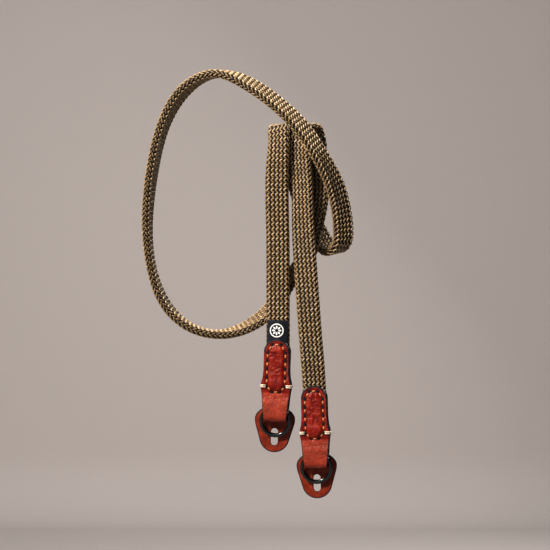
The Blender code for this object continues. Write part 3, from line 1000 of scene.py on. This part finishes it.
def front_relief(u, v, seed):
    """Height added to the front at (across, down), and how much painted shade it gets in the stitch
    groove and the folds.
    """
    line = near_stitches(u, v)
    groove = math.exp(-((line / GROOVE_WIDTH) ** 2))
    height = -GROOVE_DEPTH * groove
    crease_shade = GROOVE_SHADE * groove
    if line > 0:
        swell = ease(clamp(line / SWELL_WIDTH))
        smooth = SMOOTH_SHARE * clamp((v - SMOOTH_FROM) / SMOOTH_WITHIN)
        fold = fold_noise(u, v, seed) * (1.0 - smooth)
        height += SWELL_HEIGHT * swell - SWELL_HEIGHT * swell * fold
        dark = PANEL_CREASE_SHADE * swell * max(fold - CREASE_FROM, 0.0) / (1 - CREASE_FROM)
        crease_shade = max(crease_shade, dark)
    elif v > BEND_FROM:
        depth, dark = bend_creases(u, v, seed)
        height -= depth
        crease_shade = max(crease_shade, dark)
    for a, b in STITCH_HOLES:
        near = ((u - a) ** 2 + (v - b) ** 2) / PIT_WIDTH**2
        if near < PIT_REACH**2:
            height -= PIT_DEPTH * math.exp(-near)
    return height, clamp(crease_shade)


# %% A tab's faces, rims and marks
FACE_COLUMNS = 40
EDGE_CROWDING = 0.35
RIM_LEFT = 0.00035
RIM_RIGHT = 0.00060
RIM_TOP = 0.00095
RIM_BLUR = 0.6
# Where the painted highlight of the bend starts below the stitches, how soon it is full, and how
# strong.
HIGHLIGHT_FROM = 0.0335
HIGHLIGHT_WITHIN = 0.002
HIGHLIGHT_SHARE = 0.40


def across_shares():
    """Shares of the half width across a face, closer together at the soft edges."""
    even = [2 * k / FACE_COLUMNS - 1 for k in range(FACE_COLUMNS + 1)]
    return [math.sin(math.pi / 2 * share) * EDGE_CROWDING + share * (1 - EDGE_CROWDING)
            for share in even]


def slab_half_thick(share, half_width, half_thick, edge):
    """Half the leather's thickness, which rounds off within edge of the side."""
    inset = half_width * (1 - abs(share))
    if inset >= edge:
        return half_thick
    return half_thick - edge + math.sqrt(max(edge**2 - (edge - inset) ** 2, 0.0))


def rim_share(share, half, depth):
    """How far a spot lies in the rim's paint: round the arch, and along each side."""
    if depth < TAB_WIDTH / 2:
        radius = math.hypot(share * half, TAB_WIDTH / 2 - depth)
        inset = (TAB_WIDTH / 2 - radius) / RIM_TOP
    else:
        inset = half * (1 - abs(share)) / (RIM_RIGHT if share > 0 else RIM_LEFT)
    return clamp(1.0 + RIM_BLUR - inset)


# %% Build a tab
NARROWEST_HALF = 0.0004
FRONT_PART = 0.46
CROWN_SHARE = 0.8
EDGE_LIMIT = 0.9


def make_tab(name, top, axes, label_lift, seed):
    across, front, down = (np.array(axis[:]) for axis in axes)
    top = np.array(top[:])
    path = tab_path(label_lift)
    run = unit(np.gradient(path, axis=0))
    rings, rims, creases, highlights = [], [], [], []
    for i, (depth, stand_off) in enumerate(path):
        out = np.array((-run[i, 1], run[i, 0]))
        half = max(tab_half_width(min(depth, TAB_LENGTH)), NARROWEST_HALF)
        on_front = i < len(path) * FRONT_PART
        crown = min(depth / TAB_EDGE, 1.0)
        half_thick = TAB_THICK / 2 * math.sqrt(1 - (1 - crown) ** 2 * CROWN_SHARE)
        edge = min(TAB_EDGE, half * EDGE_LIMIT)
        ring = []
        for face in (1, -1):
            for share in across_shares() if face > 0 else reversed(across_shares()):
                u = share * half
                thick = slab_half_thick(share, half, half_thick, edge)
                relief, crease_shade = (0.0, 0.0)
                if face > 0 and on_front:
                    relief, crease_shade = front_relief(u, depth, seed)
                    relief *= min(thick / half_thick, 1.0)
                push = face * thick + relief
                ring.append(top + across * u + down * (depth + out[0] * push)
                            + front * (stand_off + out[1] * push))
                rims.append(rim_share(share, half, depth))
                # Painted shade in the creases and the stitch groove.
                creases.append(crease_shade)
                # Painted highlight where the tab bends towards the fold.
                highlights.append(HIGHLIGHT_SHARE * clamp((depth - HIGHLIGHT_FROM) / HIGHLIGHT_WITHIN))
        rings.append(ring)
    mesh = skin_mesh(name, rings)
    point_value(mesh, "rim", rims)
    point_value(mesh, "crease_shade", creases)
    point_value(mesh, "bend_highlight", highlights)
    return new_piece(name, mesh, TAB_LEATHER)


# %% The two tabs
TabEnd = namedtuple("TabEnd", "top axes label_lift seed")
ENDS = {
    "a": TabEnd(drop_points([DROP_A_ROWS[-1]], DROP_A, 1)[0][0],
                end_axes(TAB_LEAN_A, TAB_YAW), 1.0, 3.0),
    "b": TabEnd(drop_points([DROP_B_ROWS[0]], DROP_B, 1)[0][0],
                end_axes(TAB_LEAN_B, TAB_YAW), 0.0, 9.0),
}
for letter, end in ENDS.items():
    tab = make_tab("leather_tab_" + letter, end.top, end.axes, end.label_lift, end.seed)
    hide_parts("tab_" + letter)
    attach(tab, "root")
    print(tab.name, triangles(tab), "triangles")

# %% [markdown]
# ## Stitches
# Thread goes in and out through round holes along the panel's edge, and a pair of
# cream bars goes round each hip of the tab and holds the guard behind it. The seam's thread
# is the bars' cream thread, painted tan and darker as painted shade, and each hole is a
# near-black disc of painted shade. The holes and stitches are seats on the tab's face for
# the strand tree. The bars are tubes on a line.


# %% Thread finishes
THREAD_CLOUDS = 1600.0
TWISTS = 900.0


def thread_finish(name, low, high, roughness=0.6):
    finish, tree, shader = new_finish(name, high, roughness)
    paint(tree, shader, ramp(tree, grain(tree, THREAD_CLOUDS), ((0.3, low), (0.7, high))))
    place = add(tree, "ShaderNodeTexCoord").outputs["Object"]
    twist = add(tree, "ShaderNodeTexWave", {"Vector": place, "Scale": TWISTS, "Distortion": 2.0},
                bands_direction="DIAGONAL")
    emboss(tree, shader, twist.outputs["Fac"], 0.5)
    return finish


# The seam's stitches are the bars' cream thread, painted tan and darker as painted shade.
SHADED_SEAM_THREAD = thread_finish("shaded_seam_thread", (0.34, 0.120, 0.045), (0.66, 0.300, 0.130))
CREAM_THREAD = thread_finish("cream_thread", (0.50, 0.38, 0.24), (0.86, 0.78, 0.64))
# Painted shade: a near-black disc laid on each stitch hole.
HOLE_SHADE = thread_finish("stitch_hole_shade", (0.002, 0.001, 0.001), (0.009, 0.006, 0.005), 0.9)
print("finishes", SHADED_SEAM_THREAD.name, CREAM_THREAD.name, HOLE_SHADE.name)

# %% Stitches and their holes
STITCH_WIDTH = 0.0013
STITCH_HEIGHT = 0.0011
STITCH_LENGTH = 0.0022
STITCH_LIFT = 0.00025
STITCH_SIDES = 10
HOLE_WIDTH = 0.0026
HOLE_LENGTH = HOLE_WIDTH * 1.05
HOLE_HEIGHT = 0.0005
HOLE_LIFT = 0.00035
HOLE_SIDES = 14
HOLE_ROOM = 0.75
DOWN_SHARE = 0.43
UP_SHARE = 0.57


def on_tab(end, u, v, lift):
    """A point on the tab's front at (across, down), lift above the leather."""
    across, front, down = end.axes
    relief, _ = front_relief(u, v, end.seed)
    height = tab_stand_off(v, end.label_lift) + TAB_THICK / 2 + relief + lift
    return end.top + across * u + down * v + front * height


def stitch_seats(end):
    """A near-black disc of painted shade at each hole, and a stitch to the next, nearer the upper
    hole of the two.
    """
    _, front, down = end.axes
    stitches, holes = [], []
    for k, (u, v) in enumerate(STITCH_HOLES):
        holes.append((on_tab(end, u, v, HOLE_LIFT), down, front, HOLE_LENGTH, 1.0))
        after = STITCH_HOLES[(k + 1) % len(STITCH_HOLES)]
        a, b = on_tab(end, u, v, 0.0), on_tab(end, *after, 0.0)
        share = DOWN_SHARE if after[1] > v else UP_SHARE if after[1] < v else 0.5
        middle = on_tab(end, u + (after[0] - u) * share, v + (after[1] - v) * share,
                        STITCH_LIFT)
        reach = min((b - a).length - HOLE_WIDTH * HOLE_ROOM, STITCH_LENGTH)
        stitches.append((middle, (b - a).normalized(), front, reach, 1.0))
    return stitches, holes


for letter, end in ENDS.items():
    stitches, holes = stitch_seats(end)
    thread = lay_strands("stitches_" + letter, stitches, STITCH_WIDTH, STITCH_HEIGHT, SHADED_SEAM_THREAD,
                         around=STITCH_SIDES)
    # Each hole is a near-black disc of painted shade.
    dark = lay_strands("stitch_hole_shades_" + letter, holes, HOLE_WIDTH, HOLE_HEIGHT, HOLE_SHADE,
                       around=HOLE_SIDES)
    for piece in (thread, dark):
        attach(piece, "root")

# %% Cream bars round the hips
BAR_RADIUS = 0.00052
BAR_DEPTHS = (0.0292, 0.0302)
BAR_SIDES = 8
BAR_HOLE = 0.0064
BAR_TOP_FROM = 0.0068
BAR_SINK = 0.0009
HIP_CORNER = 0.0008
HIP_ROUND = (0.0002, 0.0003)
HIP_SHARE = 0.4
NECK_SIDE = 0.0012
NECK_ROUND = 0.0006
NECK_CORNER = 0.0010
BAR_BACK_TO = 0.0030
BAR_END = 0.0024
GUARD_THICK = 0.0025
GUARD_NECK_WIDTH = 0.0130


def tube_rings(points, radius, sides):
    """Round rings along a line of points, each square to the line."""
    points = np.array(points)
    along = unit(np.gradient(points, axis=0))
    side = np.array((0.0, 0.0, 1.0))
    rings = []
    for place, run in zip(points, along):
        first = side - side.dot(run) * run
        first /= np.linalg.norm(first)
        second = np.cross(run, first)
        turns = np.linspace(0.0, 2 * math.pi, sides, endpoint=False)
        rings.append([place + radius * (math.cos(t) * first + math.sin(t) * second)
                      for t in turns])
    return rings


def bar_points(end, side, depth):
    """From a hole on the front, over the hip's edge, and round behind the guard's neck."""
    across, front, down = end.axes
    half = tab_half_width(depth) + BAR_RADIUS * side * HIP_SHARE
    face = tab_stand_off(depth, end.label_lift) + TAB_THICK / 2 + BAR_RADIUS * 0.5
    back = -(GUARD_FACE + GUARD_THICK + BAR_RADIUS * 0.5)
    neck = GUARD_NECK_WIDTH / 2 + BAR_RADIUS
    spots = (
        (BAR_HOLE, face - BAR_SINK),
        (BAR_TOP_FROM, face),
        (half - HIP_CORNER, face),
        (half - HIP_ROUND[0], face - HIP_ROUND[1]),
        (half, face - BAR_SINK),
        (half, 0.0),
        (half, -GUARD_FACE * 0.7),
        (neck + NECK_SIDE, -GUARD_FACE - GUARD_THICK * 0.5),
        (neck, back + NECK_ROUND),
        (neck - NECK_CORNER, back),
        (BAR_BACK_TO, back),
        (BAR_END, back + BAR_SINK),
    )
    return [end.top + across * side * u + down * depth + front * n for u, n in spots]


def plain_mesh(bm, name):
    mesh = bpy.data.meshes.new(name)
    bm.to_mesh(mesh)
    bm.free()
    return mesh


for letter, end in ENDS.items():
    bm = bmesh.new()
    for side in (1, -1):
        for depth in BAR_DEPTHS:
            rings = tube_rings(bar_points(end, side, depth), BAR_RADIUS, BAR_SIDES)
            bm.from_mesh(skin_mesh("bar", rings))
    bars = new_piece("thread_bars_" + letter, plain_mesh(bm, "thread_bars_" + letter),
                     CREAM_THREAD)
    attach(bars, "root")
    print(bars.name, triangles(bars), "triangles")

# %% [markdown]
# ## Split rings
# A split ring is two turns of flat wire, one on the other, with a short jog between
# them. Its wire is a rounded slab, so the ring is a skin whose rings walk twice round a
# circle and climb by one wire while they pass the jog.


# %% Black metal
METAL_CLOUDS = 500.0
METAL_PITS = 2200.0


def black_metal_finish():
    finish, tree, shader = new_finish("black_metal", (0.003, 0.004, 0.006), 0.3, Metallic=0.0,
                                      Coat_Weight=0.6, Coat_Roughness=0.14)
    cloud = grain(tree, METAL_CLOUDS, 4.0)
    worn = add(tree, "ShaderNodeMapRange", {"Value": cloud, "To Min": 0.14, "To Max": 0.30})
    tree.links.new(worn.outputs[0], shader.inputs["Roughness"])
    emboss(tree, shader, grain(tree, METAL_PITS), 0.15)
    return finish


BLACK_METAL = black_metal_finish()
print("finish", BLACK_METAL.name)

# %% Rings
JOG_ANGLE = math.radians(24.0)
WIRE_POINTS = 16
WIRE_ROUNDING = 0.8
RING_STEPS = 150


def wire_section():
    """Rounded slab: (outward, along the axis)."""
    points = []
    for k in range(WIRE_POINTS):
        turn = 2 * math.pi * k / WIRE_POINTS
        c, s = math.cos(turn), math.sin(turn)
        points.append((math.copysign(abs(c) ** WIRE_ROUNDING, c) * WIRE_HEIGHT / 2,
                       math.copysign(abs(s) ** WIRE_ROUNDING, s) * WIRE_DEPTH / 2))
    return points


def make_ring(name, top, axes, below):
    """Two turns of wire round one axis, hung in the fold and leaning on the guard."""
    across, front, down = axes
    radius = (RING_DIAMETER - WIRE_HEIGHT) / 2
    head = RING_TILT_ROOM / 2
    foot = RING_DEPTH / 2 + RING_FOOT_ROOM - GUARD_FACE
    lean = math.asin((head - foot) / (2 * radius))
    hang = (down * math.cos(lean) - front * math.sin(lean)).normalized()
    middle = top + down * (TAB_LENGTH + below - radius) + front * head + hang * radius
    axis = across.cross(hang).normalized()
    side = axis.cross(hang)
    rings = []
    first, last = JOG_ANGLE, 4 * math.pi - JOG_ANGLE
    for k in range(RING_STEPS + 1):
        angle = first + (last - first) * k / RING_STEPS
        share = clamp((angle - 2 * math.pi) / (2 * JOG_ANGLE) + 0.5)
        climb = (WIRE_DEPTH + GAP) * (ease(share) - 0.5)
        out = -hang * math.cos(angle) - side * math.sin(angle)
        rings.append([middle + out * (radius + a) + axis * (climb + b)
                      for a, b in wire_section()])
    return new_piece(name, skin_mesh(name, rings), BLACK_METAL)


for letter, below in (("a", RING_BELOW_FOLD_A), ("b", RING_BELOW_FOLD_B)):
    ring = make_ring("split_ring_" + letter, ENDS[letter].top, ENDS[letter].axes, below)
    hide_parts("ring_" + letter)
    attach(ring, "root")
    print(ring.name, triangles(ring), "triangles")

# %% [markdown]
# ## Leather guards
# The guard is a flat leather tongue with a slot, its neck held behind the tab by the
# thread bars. Its skin walks from the outline in to the slot on the front, through the
# slot and back out behind, so the rim and the slot's walls can be rounded and painted.

# %% Guard sizes
GUARD_LENGTH = 0.0722
GUARD_WIDTH = 0.0256
GUARD_TOE_WIDTH = 0.0190
GUARD_NECK_LENGTH = 0.0150
GUARD_EDGE = 0.0007
GUARD_WIDEST = 0.0512
GUARD_SHOULDER_RISE = 0.0086
GUARD_NECK_BLEND = 0.0008
GUARD_ASIDE_A = -0.0009
GUARD_ASIDE_B = -0.0002
SLOT_WIDTH = 0.0046
SLOT_LENGTH = 0.0109
SLOT_TO_TOE = 0.0044
SLOT_MIDDLE = GUARD_LENGTH - SLOT_TO_TOE - SLOT_LENGTH / 2
print("slot", round(SLOT_MIDDLE, 4), "m below the tab's top")

# %% Outlines of the guard and its slot
GUARD_ARC_STEPS = 24
SLOT_ARC_STEPS = 16


def guard_outline():
    """(across, down) points: neck, elliptical shoulders, straight sides and a round toe."""
    wide, toe, neck = GUARD_WIDTH / 2, GUARD_TOE_WIDTH / 2, GUARD_NECK_WIDTH / 2
    toe_middle = GUARD_LENGTH - toe
    tangent = math.asin((wide - toe) / (toe_middle - GUARD_WIDEST))
    turn = math.acos((neck + 2 * GUARD_NECK_BLEND) / wide)
    shoulder = GUARD_WIDEST - GUARD_SHOULDER_RISE * math.sin(turn)
    neck_foot = shoulder - 2 * GUARD_NECK_BLEND
    points = [(0.0, neck_foot - GUARD_NECK_LENGTH), (neck, neck_foot - GUARD_NECK_LENGTH),
              (neck, neck_foot), (neck + GUARD_NECK_BLEND / 2, shoulder - GUARD_NECK_BLEND / 2)]
    for k in range(GUARD_ARC_STEPS + 1):
        angle = turn - (turn + tangent) * k / GUARD_ARC_STEPS
        rise = GUARD_SHOULDER_RISE if angle > 0 else wide
        points.append((wide * math.cos(angle), GUARD_WIDEST - rise * math.sin(angle)))
    for k in range(1, GUARD_ARC_STEPS + 1):
        angle = tangent + (math.pi / 2 - tangent) * k / GUARD_ARC_STEPS
        points.append((toe * math.cos(angle), toe_middle + toe * math.sin(angle)))
    return np.array(points + [(-x, depth) for x, depth in reversed(points[1:-1])])


def slot_outline():
    """Two half circles, the upper one first."""
    radius = SLOT_WIDTH / 2
    reach = SLOT_LENGTH / 2 - radius
    points = []
    for end, start in ((-1, -0.5), (1, 0.5)):
        for k in range(SLOT_ARC_STEPS + 1):
            angle = math.pi * (start + k / SLOT_ARC_STEPS)
            points.append((radius * math.sin(angle),
                           SLOT_MIDDLE + end * reach - radius * math.cos(angle)))
    return np.array(points)


def reach_outline(points, directions):
    """How far a closed outline lies from the slot's middle in each direction."""
    shifted = points - np.array((0.0, SLOT_MIDDLE))
    distances = []
    for direction in directions:
        best = 0.0
        for a, b in zip(shifted, np.roll(shifted, -1, axis=0)):
            edge = b - a
            cross = direction[0] * edge[1] - direction[1] * edge[0]
            if abs(cross) < 1e-12:
                continue
            t = (a[0] * edge[1] - a[1] * edge[0]) / cross
            s = (a[0] * direction[1] - a[1] * direction[0]) / cross
            if t > 0 and -1e-9 <= s <= 1 + 1e-9:
                best = max(best, t)
        distances.append(best)
    return np.array(distances)


# %% Guard skin
OUTLINE_POINTS = 120
EDGE_POINTS = 5
GUARD_RINGS = 16
RING_CROWDING = 1.4
RIM_PAINT_SHARES = (1.0, 1.0, 1.0, 1.0, 0.65)
SLOT_PAINT_SHARES = (0.0, 0.45, 0.45, 0.45, 0.45)


def guard_profile(outer, inner):
    """(distance, height, paint) of each ring of one side, from the rim in to the slot."""
    low = GUARD_THICK / 2 - GUARD_EDGE
    arc = np.linspace(0.0, math.pi / 2, EDGE_POINTS)
    profile = [(outer - GUARD_EDGE * (1 - math.cos(t)), low + GUARD_EDGE * math.sin(t), paint)
               for t, paint in zip(arc, RIM_PAINT_SHARES)]
    start, stop = outer - GUARD_EDGE, inner + GUARD_EDGE
    for k in range(1, GUARD_RINGS):
        share = (k / GUARD_RINGS) ** RING_CROWDING
        profile.append((start + (stop - start) * share, GUARD_THICK / 2, 0.0))
    profile += [(inner + GUARD_EDGE * (1 - math.sin(t)), low + GUARD_EDGE * math.cos(t), paint)
                for t, paint in zip(arc, SLOT_PAINT_SHARES)]
    return profile


def make_guard(name, top, axes, aside):
    across, front, down = (np.array(axis[:]) for axis in axes)
    turns = np.linspace(0.0, 2 * math.pi, OUTLINE_POINTS, endpoint=False)
    directions = np.stack((np.sin(turns), -np.cos(turns)), axis=1)
    profile = guard_profile(reach_outline(guard_outline(), directions),
                            reach_outline(slot_outline(), directions))
    middle = np.array(top[:]) + across * aside - front * (GUARD_FACE + GUARD_THICK / 2)
    rings, rims = [], []
    for side in (1, -1):
        for distance, height, rim in profile if side > 0 else reversed(profile):
            spots = directions * distance[:, None] + np.array((0.0, SLOT_MIDDLE))
            rings.append(middle + spots[:, :1] * across + spots[:, 1:] * down
                         + side * height * front)
            rims.extend([rim] * OUTLINE_POINTS)
    mesh = skin_mesh(name, rings, closed=True)
    point_value(mesh, "rim", rims)
    point_value(mesh, "crease_shade", np.zeros(len(rims)))
    return new_piece(name, mesh, GUARD_LEATHER)


for letter, aside in (("a", GUARD_ASIDE_A), ("b", GUARD_ASIDE_B)):
    guard = make_guard("leather_guard_" + letter, ENDS[letter].top, ENDS[letter].axes, aside)
    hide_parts("guard_" + letter)
    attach(guard, "root")
    print(guard.name, triangles(guard), "triangles")

# %% [markdown]
# ## Label
# A small bluish-black patch lies on the strap above one tab. It is a thin woven tape, so
# it gets a fine rib. The mark printed on it here is a plain rosette of petals in a ring.

# %% Label finishes
PATCH_CLOUDS = 800.0
PATCH_RIBS = 900.0
PRINT_CLOUDS = 2500.0


def patch_finish():
    finish, tree, shader = new_finish("black_patch", (0.006, 0.008, 0.014), 0.65,
                                      Specular_IOR_Level=0.25)
    place = add(tree, "ShaderNodeTexCoord").outputs["Object"]
    rib = add(tree, "ShaderNodeTexWave", {"Vector": place, "Scale": PATCH_RIBS,
                                          "Distortion": 0.4}, bands_direction="Z")
    emboss(tree, shader, rib.outputs["Fac"], 0.35)
    paint(tree, shader, ramp(tree, grain(tree, PATCH_CLOUDS), (
        (0.3, (0.004, 0.005, 0.009)), (0.7, (0.017, 0.021, 0.031)))))
    return finish


def print_finish():
    finish, tree, shader = new_finish("cream_print", (0.72, 0.70, 0.66), 0.6)
    paint(tree, shader, ramp(tree, grain(tree, PRINT_CLOUDS), (
        (0.2, (0.75, 0.73, 0.70)), (0.6, (0.92, 0.91, 0.88)))))
    return finish


BLACK_PATCH = patch_finish()
CREAM_PRINT = print_finish()
print("finishes", BLACK_PATCH.name, CREAM_PRINT.name)

# %% Label
LABEL_WIDTH = 0.0133
LABEL_SHOWS = 0.0119
LABEL_TUCK = 0.0045
LABEL_ROWS = 24
LABEL_SECTION = ((-1, -0.6), (-0.97, -1), (0, -1), (0.97, -1), (1, -0.6),
                 (1, 0.6), (0.97, 1), (0, 1), (-0.97, 1), (-1, 0.6))


def make_label(top, axes):
    """A strip of tape on the strap; its section is in shares of half its width and height."""
    across, front, down = axes
    half, thick = LABEL_WIDTH / 2, LABEL_THICK / 2
    middle = top + front * (STRAP_THICK / 2 + GAP + thick)
    rings = []
    for k in range(LABEL_ROWS + 1):
        depth = -LABEL_SHOWS + (LABEL_SHOWS + LABEL_TUCK) * k / LABEL_ROWS
        rings.append([middle + down * depth + across * (u * half) + front * (n * thick)
                      for u, n in LABEL_SECTION])
    return new_piece("woven_label", skin_mesh("woven_label", rings), BLACK_PATCH)


# %% Rosette
ROSETTE_RADIUS = 0.0044
ROSETTE_UP = 0.46
ROSETTE_ASIDE = 0.0007
ROSETTE_PETALS = 8
PETAL_FROM = 0.20
PETAL_TO = 0.74
PETAL_HALF_WIDTH = 0.13
PETAL_STEPS = 8
BAND_INSIDE = 0.84
BAND_STEPS = 48
PRINT_LIFT = 0.00006
SAME_POINT = 1e-7


def petal(turn):
    """One leaf-shaped petal, pointing out at a turn from the rosette's middle."""
    points = []
    for k in range(PETAL_STEPS + 1):
        share = k / PETAL_STEPS
        points.append((PETAL_FROM + (PETAL_TO - PETAL_FROM) * share,
                       PETAL_HALF_WIDTH * math.sin(math.pi * share)))
    points += [(r, -w) for r, w in reversed(points[1:-1])]
    c, s = math.cos(turn), math.sin(turn)
    return [(r * c - w * s, r * s + w * c) for r, w in points]


def make_rosette(top, axes):
    """Petals and a ring as thin raised print."""
    across, front, down = axes
    middle = top - down * (LABEL_SHOWS * ROSETTE_UP) - across * ROSETTE_ASIDE
    middle += front * (STRAP_THICK / 2 + GAP + LABEL_THICK)
    bm = bmesh.new()

    def seat(u, v, lift):
        return bm.verts.new(middle + across * (u * ROSETTE_RADIUS) + down * (v * ROSETTE_RADIUS)
                            + front * lift)

    def raise_shape(points):
        low = [seat(u, v, -PRINT_LIFT) for u, v in points]
        high = [seat(u, v, PRINT_LIFT) for u, v in points]
        bm.faces.new(high)
        bm.faces.new(list(reversed(low)))
        for k in range(len(points)):
            n = (k + 1) % len(points)
            bm.faces.new((low[k], low[n], high[n], high[k]))

    for k in range(ROSETTE_PETALS):
        raise_shape(petal(2 * math.pi * k / ROSETTE_PETALS))
    for k in range(BAND_STEPS):
        a, b = 2 * math.pi * k / BAND_STEPS, 2 * math.pi * (k + 1) / BAND_STEPS
        raise_shape([(BAND_INSIDE * math.cos(a), BAND_INSIDE * math.sin(a)),
                     (math.cos(a), math.sin(a)), (math.cos(b), math.sin(b)),
                     (BAND_INSIDE * math.cos(b), BAND_INSIDE * math.sin(b))])
    bmesh.ops.remove_doubles(bm, verts=bm.verts, dist=SAME_POINT)
    bmesh.ops.recalc_face_normals(bm, faces=bm.faces)
    return new_piece("rosette_print", plain_mesh(bm, "rosette_print"), CREAM_PRINT, smooth=False)


label = make_label(ENDS["a"].top, ENDS["a"].axes)
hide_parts("label")
rosette = make_rosette(ENDS["a"].top, ENDS["a"].axes)
for piece in (label, rosette):
    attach(piece, "root")
    print(piece.name, triangles(piece), "triangles")

# %% [markdown]
# ## Floor, backdrop and light
# The strap hangs in the air in front of a plain pale wall, above a plain pale floor. Both
# are one sheet with a soft bend, a little paler towards the wall. The key light stands to
# the left in front, a small one straight above lights the folds, a weak one fills the
# front, and one behind serves views of the back. A low gamma deepens the weave's gaps.

# %% Floor and backdrop
FLOOR_Z = -0.450
FLOOR_FRONT = -3.0
HALF_WIDTH = 3.0
WALL_Y = 1.40
WALL_TOP = 2.5
BEND_RADIUS = 0.10
BEND_STEPS = 8
PALER_FROM = -0.40


def wall_finish():
    finish, tree, shader = new_finish("pale_wall", (0.5, 0.46, 0.44), 0.95)
    place = add(tree, "ShaderNodeTexCoord").outputs["Object"]
    depth = add(tree, "ShaderNodeSeparateXYZ", {"Vector": place}).outputs["Y"]
    share = add(tree, "ShaderNodeMapRange", {"Value": depth, "From Min": PALER_FROM,
                                             "From Max": WALL_Y})
    paint(tree, shader, ramp(tree, share.outputs[0], (
        (0.0, (0.22, 0.201, 0.192)), (1.0, (0.52, 0.477, 0.458)))))
    return finish


def make_studio():
    bend_y = WALL_Y - BEND_RADIUS
    profile = [(FLOOR_FRONT, FLOOR_Z), (bend_y, FLOOR_Z)]
    for k in range(1, BEND_STEPS + 1):
        angle = math.pi / 2 * k / BEND_STEPS
        profile.append((bend_y + BEND_RADIUS * math.sin(angle),
                        FLOOR_Z + BEND_RADIUS * (1 - math.cos(angle))))
    profile.append((WALL_Y, WALL_TOP))
    points = [(x, y, z) for x in (-HALF_WIDTH, HALF_WIDTH) for y, z in profile]
    count = len(profile)
    faces = [(k, count + k, count + k + 1, k + 1) for k in range(count - 1)]
    mesh = bpy.data.meshes.new("studio")
    mesh.from_pydata(points, [], faces)
    return new_piece("studio", mesh, wall_finish())


make_studio()
print("floor at", FLOOR_Z, "m, wall at", WALL_Y, "m")


# %% Lights
AIM = Vector((0.0, 0.0, -0.09))
Lamp = namedtuple("Lamp", "name place size power colour")
LAMPS = (
    Lamp("key", (-0.74, -0.78, 0.62), (0.22, 0.22), 31.0, (1.0, 0.96, 0.90)),
    Lamp("fill", (-0.30, -1.00, 0.00), (0.4, 0.6), 1.6, (0.97, 0.98, 1.0)),
    Lamp("top", (-0.06, 0.00, 1.0), (0.22, 0.22), 14.0, (1.0, 1.0, 1.0)),
    Lamp("back", (0.60, 0.90, 0.40), (0.4, 0.4), 10.0, (1.0, 1.0, 1.0)),
)
SKY_COLOUR = (0.9, 0.92, 1.0, 1.0)
SKY_STRENGTH = 0.06
GAMMA = 0.8


def area_light(lamp):
    data = bpy.data.lights.new(lamp.name, "AREA")
    data.shape = "RECTANGLE"
    data.size, data.size_y = lamp.size
    data.energy = lamp.power
    data.color = lamp.colour
    light = bpy.data.objects.new(lamp.name, data)
    light.location = lamp.place
    light.rotation_euler = (AIM - light.location).to_track_quat("-Z", "Y").to_euler()
    bpy.context.scene.collection.objects.link(light)


for lamp in LAMPS:
    area_light(lamp)
world = bpy.data.worlds.new("pale_sky")
world.use_nodes = True
world.node_tree.nodes["Background"].inputs["Color"].default_value = SKY_COLOUR
world.node_tree.nodes["Background"].inputs["Strength"].default_value = SKY_STRENGTH
bpy.context.scene.world = world
bpy.context.scene.view_settings.view_transform = "Standard"
bpy.context.scene.view_settings.gamma = GAMMA
print("lights", ", ".join(lamp.name for lamp in LAMPS))
